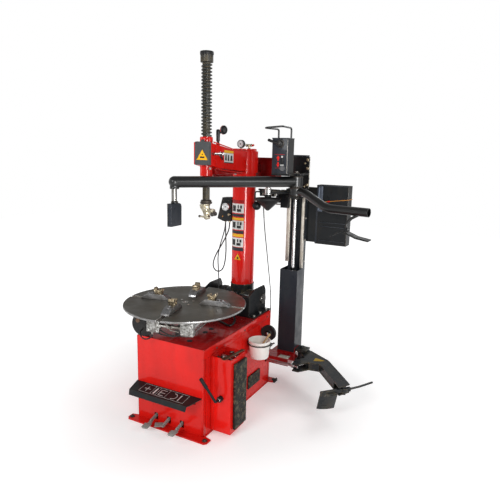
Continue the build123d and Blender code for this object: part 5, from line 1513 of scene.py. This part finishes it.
# ---- floor, light and camera ---------------------------------------------------------------
def make_floor():
    data = bpy.data.meshes.new("studio_floor")
    size = 9.0
    data.from_pydata([(-size, -size, 0), (size, -size, 0), (size, size, 0), (-size, size, 0)], [],
                     [(0, 1, 2, 3)])
    floor = bpy.data.objects.new("studio_floor", data)
    bpy.context.scene.collection.objects.link(floor)
    surface = Surface("floor", 0.9, specular=0.1)
    split = surface.node("ShaderNodeSeparateXYZ", Vector=surface.place)
    reach = surface.math("SQRT", surface.math("ADD", surface.math("POWER", split.outputs["X"], 2.0),
                                              surface.math("POWER", split.outputs["Y"], 2.0)))
    tone = surface.mix(surface.noise(2.0), (0.86, 0.86, 0.86), (0.88, 0.88, 0.88))
    # The floor glows (painted light): weakly near the machine and more strongly further out, so it reads
    # near white.
    surface.set(Base_Color=tone, Emission_Strength=surface.ramp(reach, 0.7, 2.6, 0.22, 0.72))
    surface.shader.inputs["Emission Color"].default_value = (1, 1, 1, 1)
    data.materials.append(surface.material)
    floor.location.z = -0.0005


def area_light(name, place, aim, size, power, only_shine=False):
    """A soft rectangular light; one that only shines shows in glossy surfaces alone."""
    data = bpy.data.lights.new(name, "AREA")
    data.shape = "RECTANGLE"
    data.size, data.size_y = size
    data.energy = power
    lamp = bpy.data.objects.new(name, data)
    bpy.context.scene.collection.objects.link(lamp)
    lamp.location = place
    lamp.rotation_euler = (Vector(aim) - Vector(place)).to_track_quat("-Z", "Y").to_euler()
    lamp.visible_diffuse = not only_shine


def make_lights():
    middle = (0.1, 0.1, 1.0)
    area_light("key_light", (-0.4, -4.8, 2.9), middle, (2.0, 1.4), 100)
    area_light("front_right_light", (3.4, -3.4, 2.4), middle, (1.2, 1.2), 40)
    area_light("strip_shine", (3.18, -2.73, 1.0), (0.0, 0.45, 1.0), (0.9, 2.2), 200, only_shine=True)
    area_light("arm_shine", (5.0, 0.2, 1.9), (0.2, 0.1, 1.5), (1.2, 1.0), 36, only_shine=True)
    area_light("side_light", (4.8, -0.1, 2.7), middle, (1.8, 1.0), 30)
    area_light("fill_light", (-4.2, -1.6, 2.4), middle, (2.2, 2.2), 34)
    area_light("rim_light", (1.5, 4.0, 3.8), middle, (3.0, 1.2), 60)
    world = bpy.data.worlds.new("studio")
    world.use_nodes = True
    tree = world.node_tree
    seen = tree.nodes.new("ShaderNodeLightPath").outputs["Is Camera Ray"]
    strength = tree.nodes.new("ShaderNodeMapRange")
    strength.inputs["To Min"].default_value = 0.42
    strength.inputs["To Max"].default_value = 1.0
    tree.links.new(seen, strength.inputs["Value"])
    tree.links.new(strength.outputs["Result"], tree.nodes["Background"].inputs["Strength"])
    tree.nodes["Background"].inputs["Color"].default_value = (1.0, 1.0, 1.0, 1)
    bpy.context.scene.world = world
    bpy.context.scene.view_settings.view_transform = "Standard"


def make_camera():
    """At eye height in front of the machine, to its right, looking slightly down."""
    yaw, down, roll = math.radians(27.967), math.radians(11.043), math.radians(1.326)
    ahead = Vector((-math.sin(yaw) * math.cos(down), math.cos(yaw) * math.cos(down), -math.sin(down)))
    right = Vector((math.cos(yaw), math.sin(yaw), 0))
    up = right.cross(ahead)
    tilted_right = right * math.cos(roll) + up * math.sin(roll)
    tilted_up = up * math.cos(roll) - right * math.sin(roll)
    data = bpy.data.cameras.new("camera")
    data.sensor_width = 36.0
    data.lens = 35.615
    camera = bpy.data.objects.new("camera", data)
    bpy.context.scene.collection.objects.link(camera)
    turn = Matrix((tilted_right, tilted_up, -ahead)).transposed()
    camera.matrix_world = Matrix.Translation((1.726, -2.689, 1.675)) @ turn.to_4x4()
    bpy.context.scene.camera = camera


make_jaws()
make_clamp_cylinders()
make_plate_rim()
make_cabinet_trim()
make_pedal_treads()
make_visor_panel()
make_side_box_trim()
make_bucket()
make_spare_disc()
make_column_plates()
make_column_trim()
make_lock_box()
make_spring()
make_spindle()
make_hand_controls()
make_gauges()
make_presser()
make_press_cone()
make_mast_trim()
make_carriage_trim()
make_main_arm_cap()
make_control_box_trim()
make_rear_box_trim()
make_tie()
make_bead_arm_trim()
make_lug_covers()
make_air_bow()
make_floor()
make_lights()
make_camera()
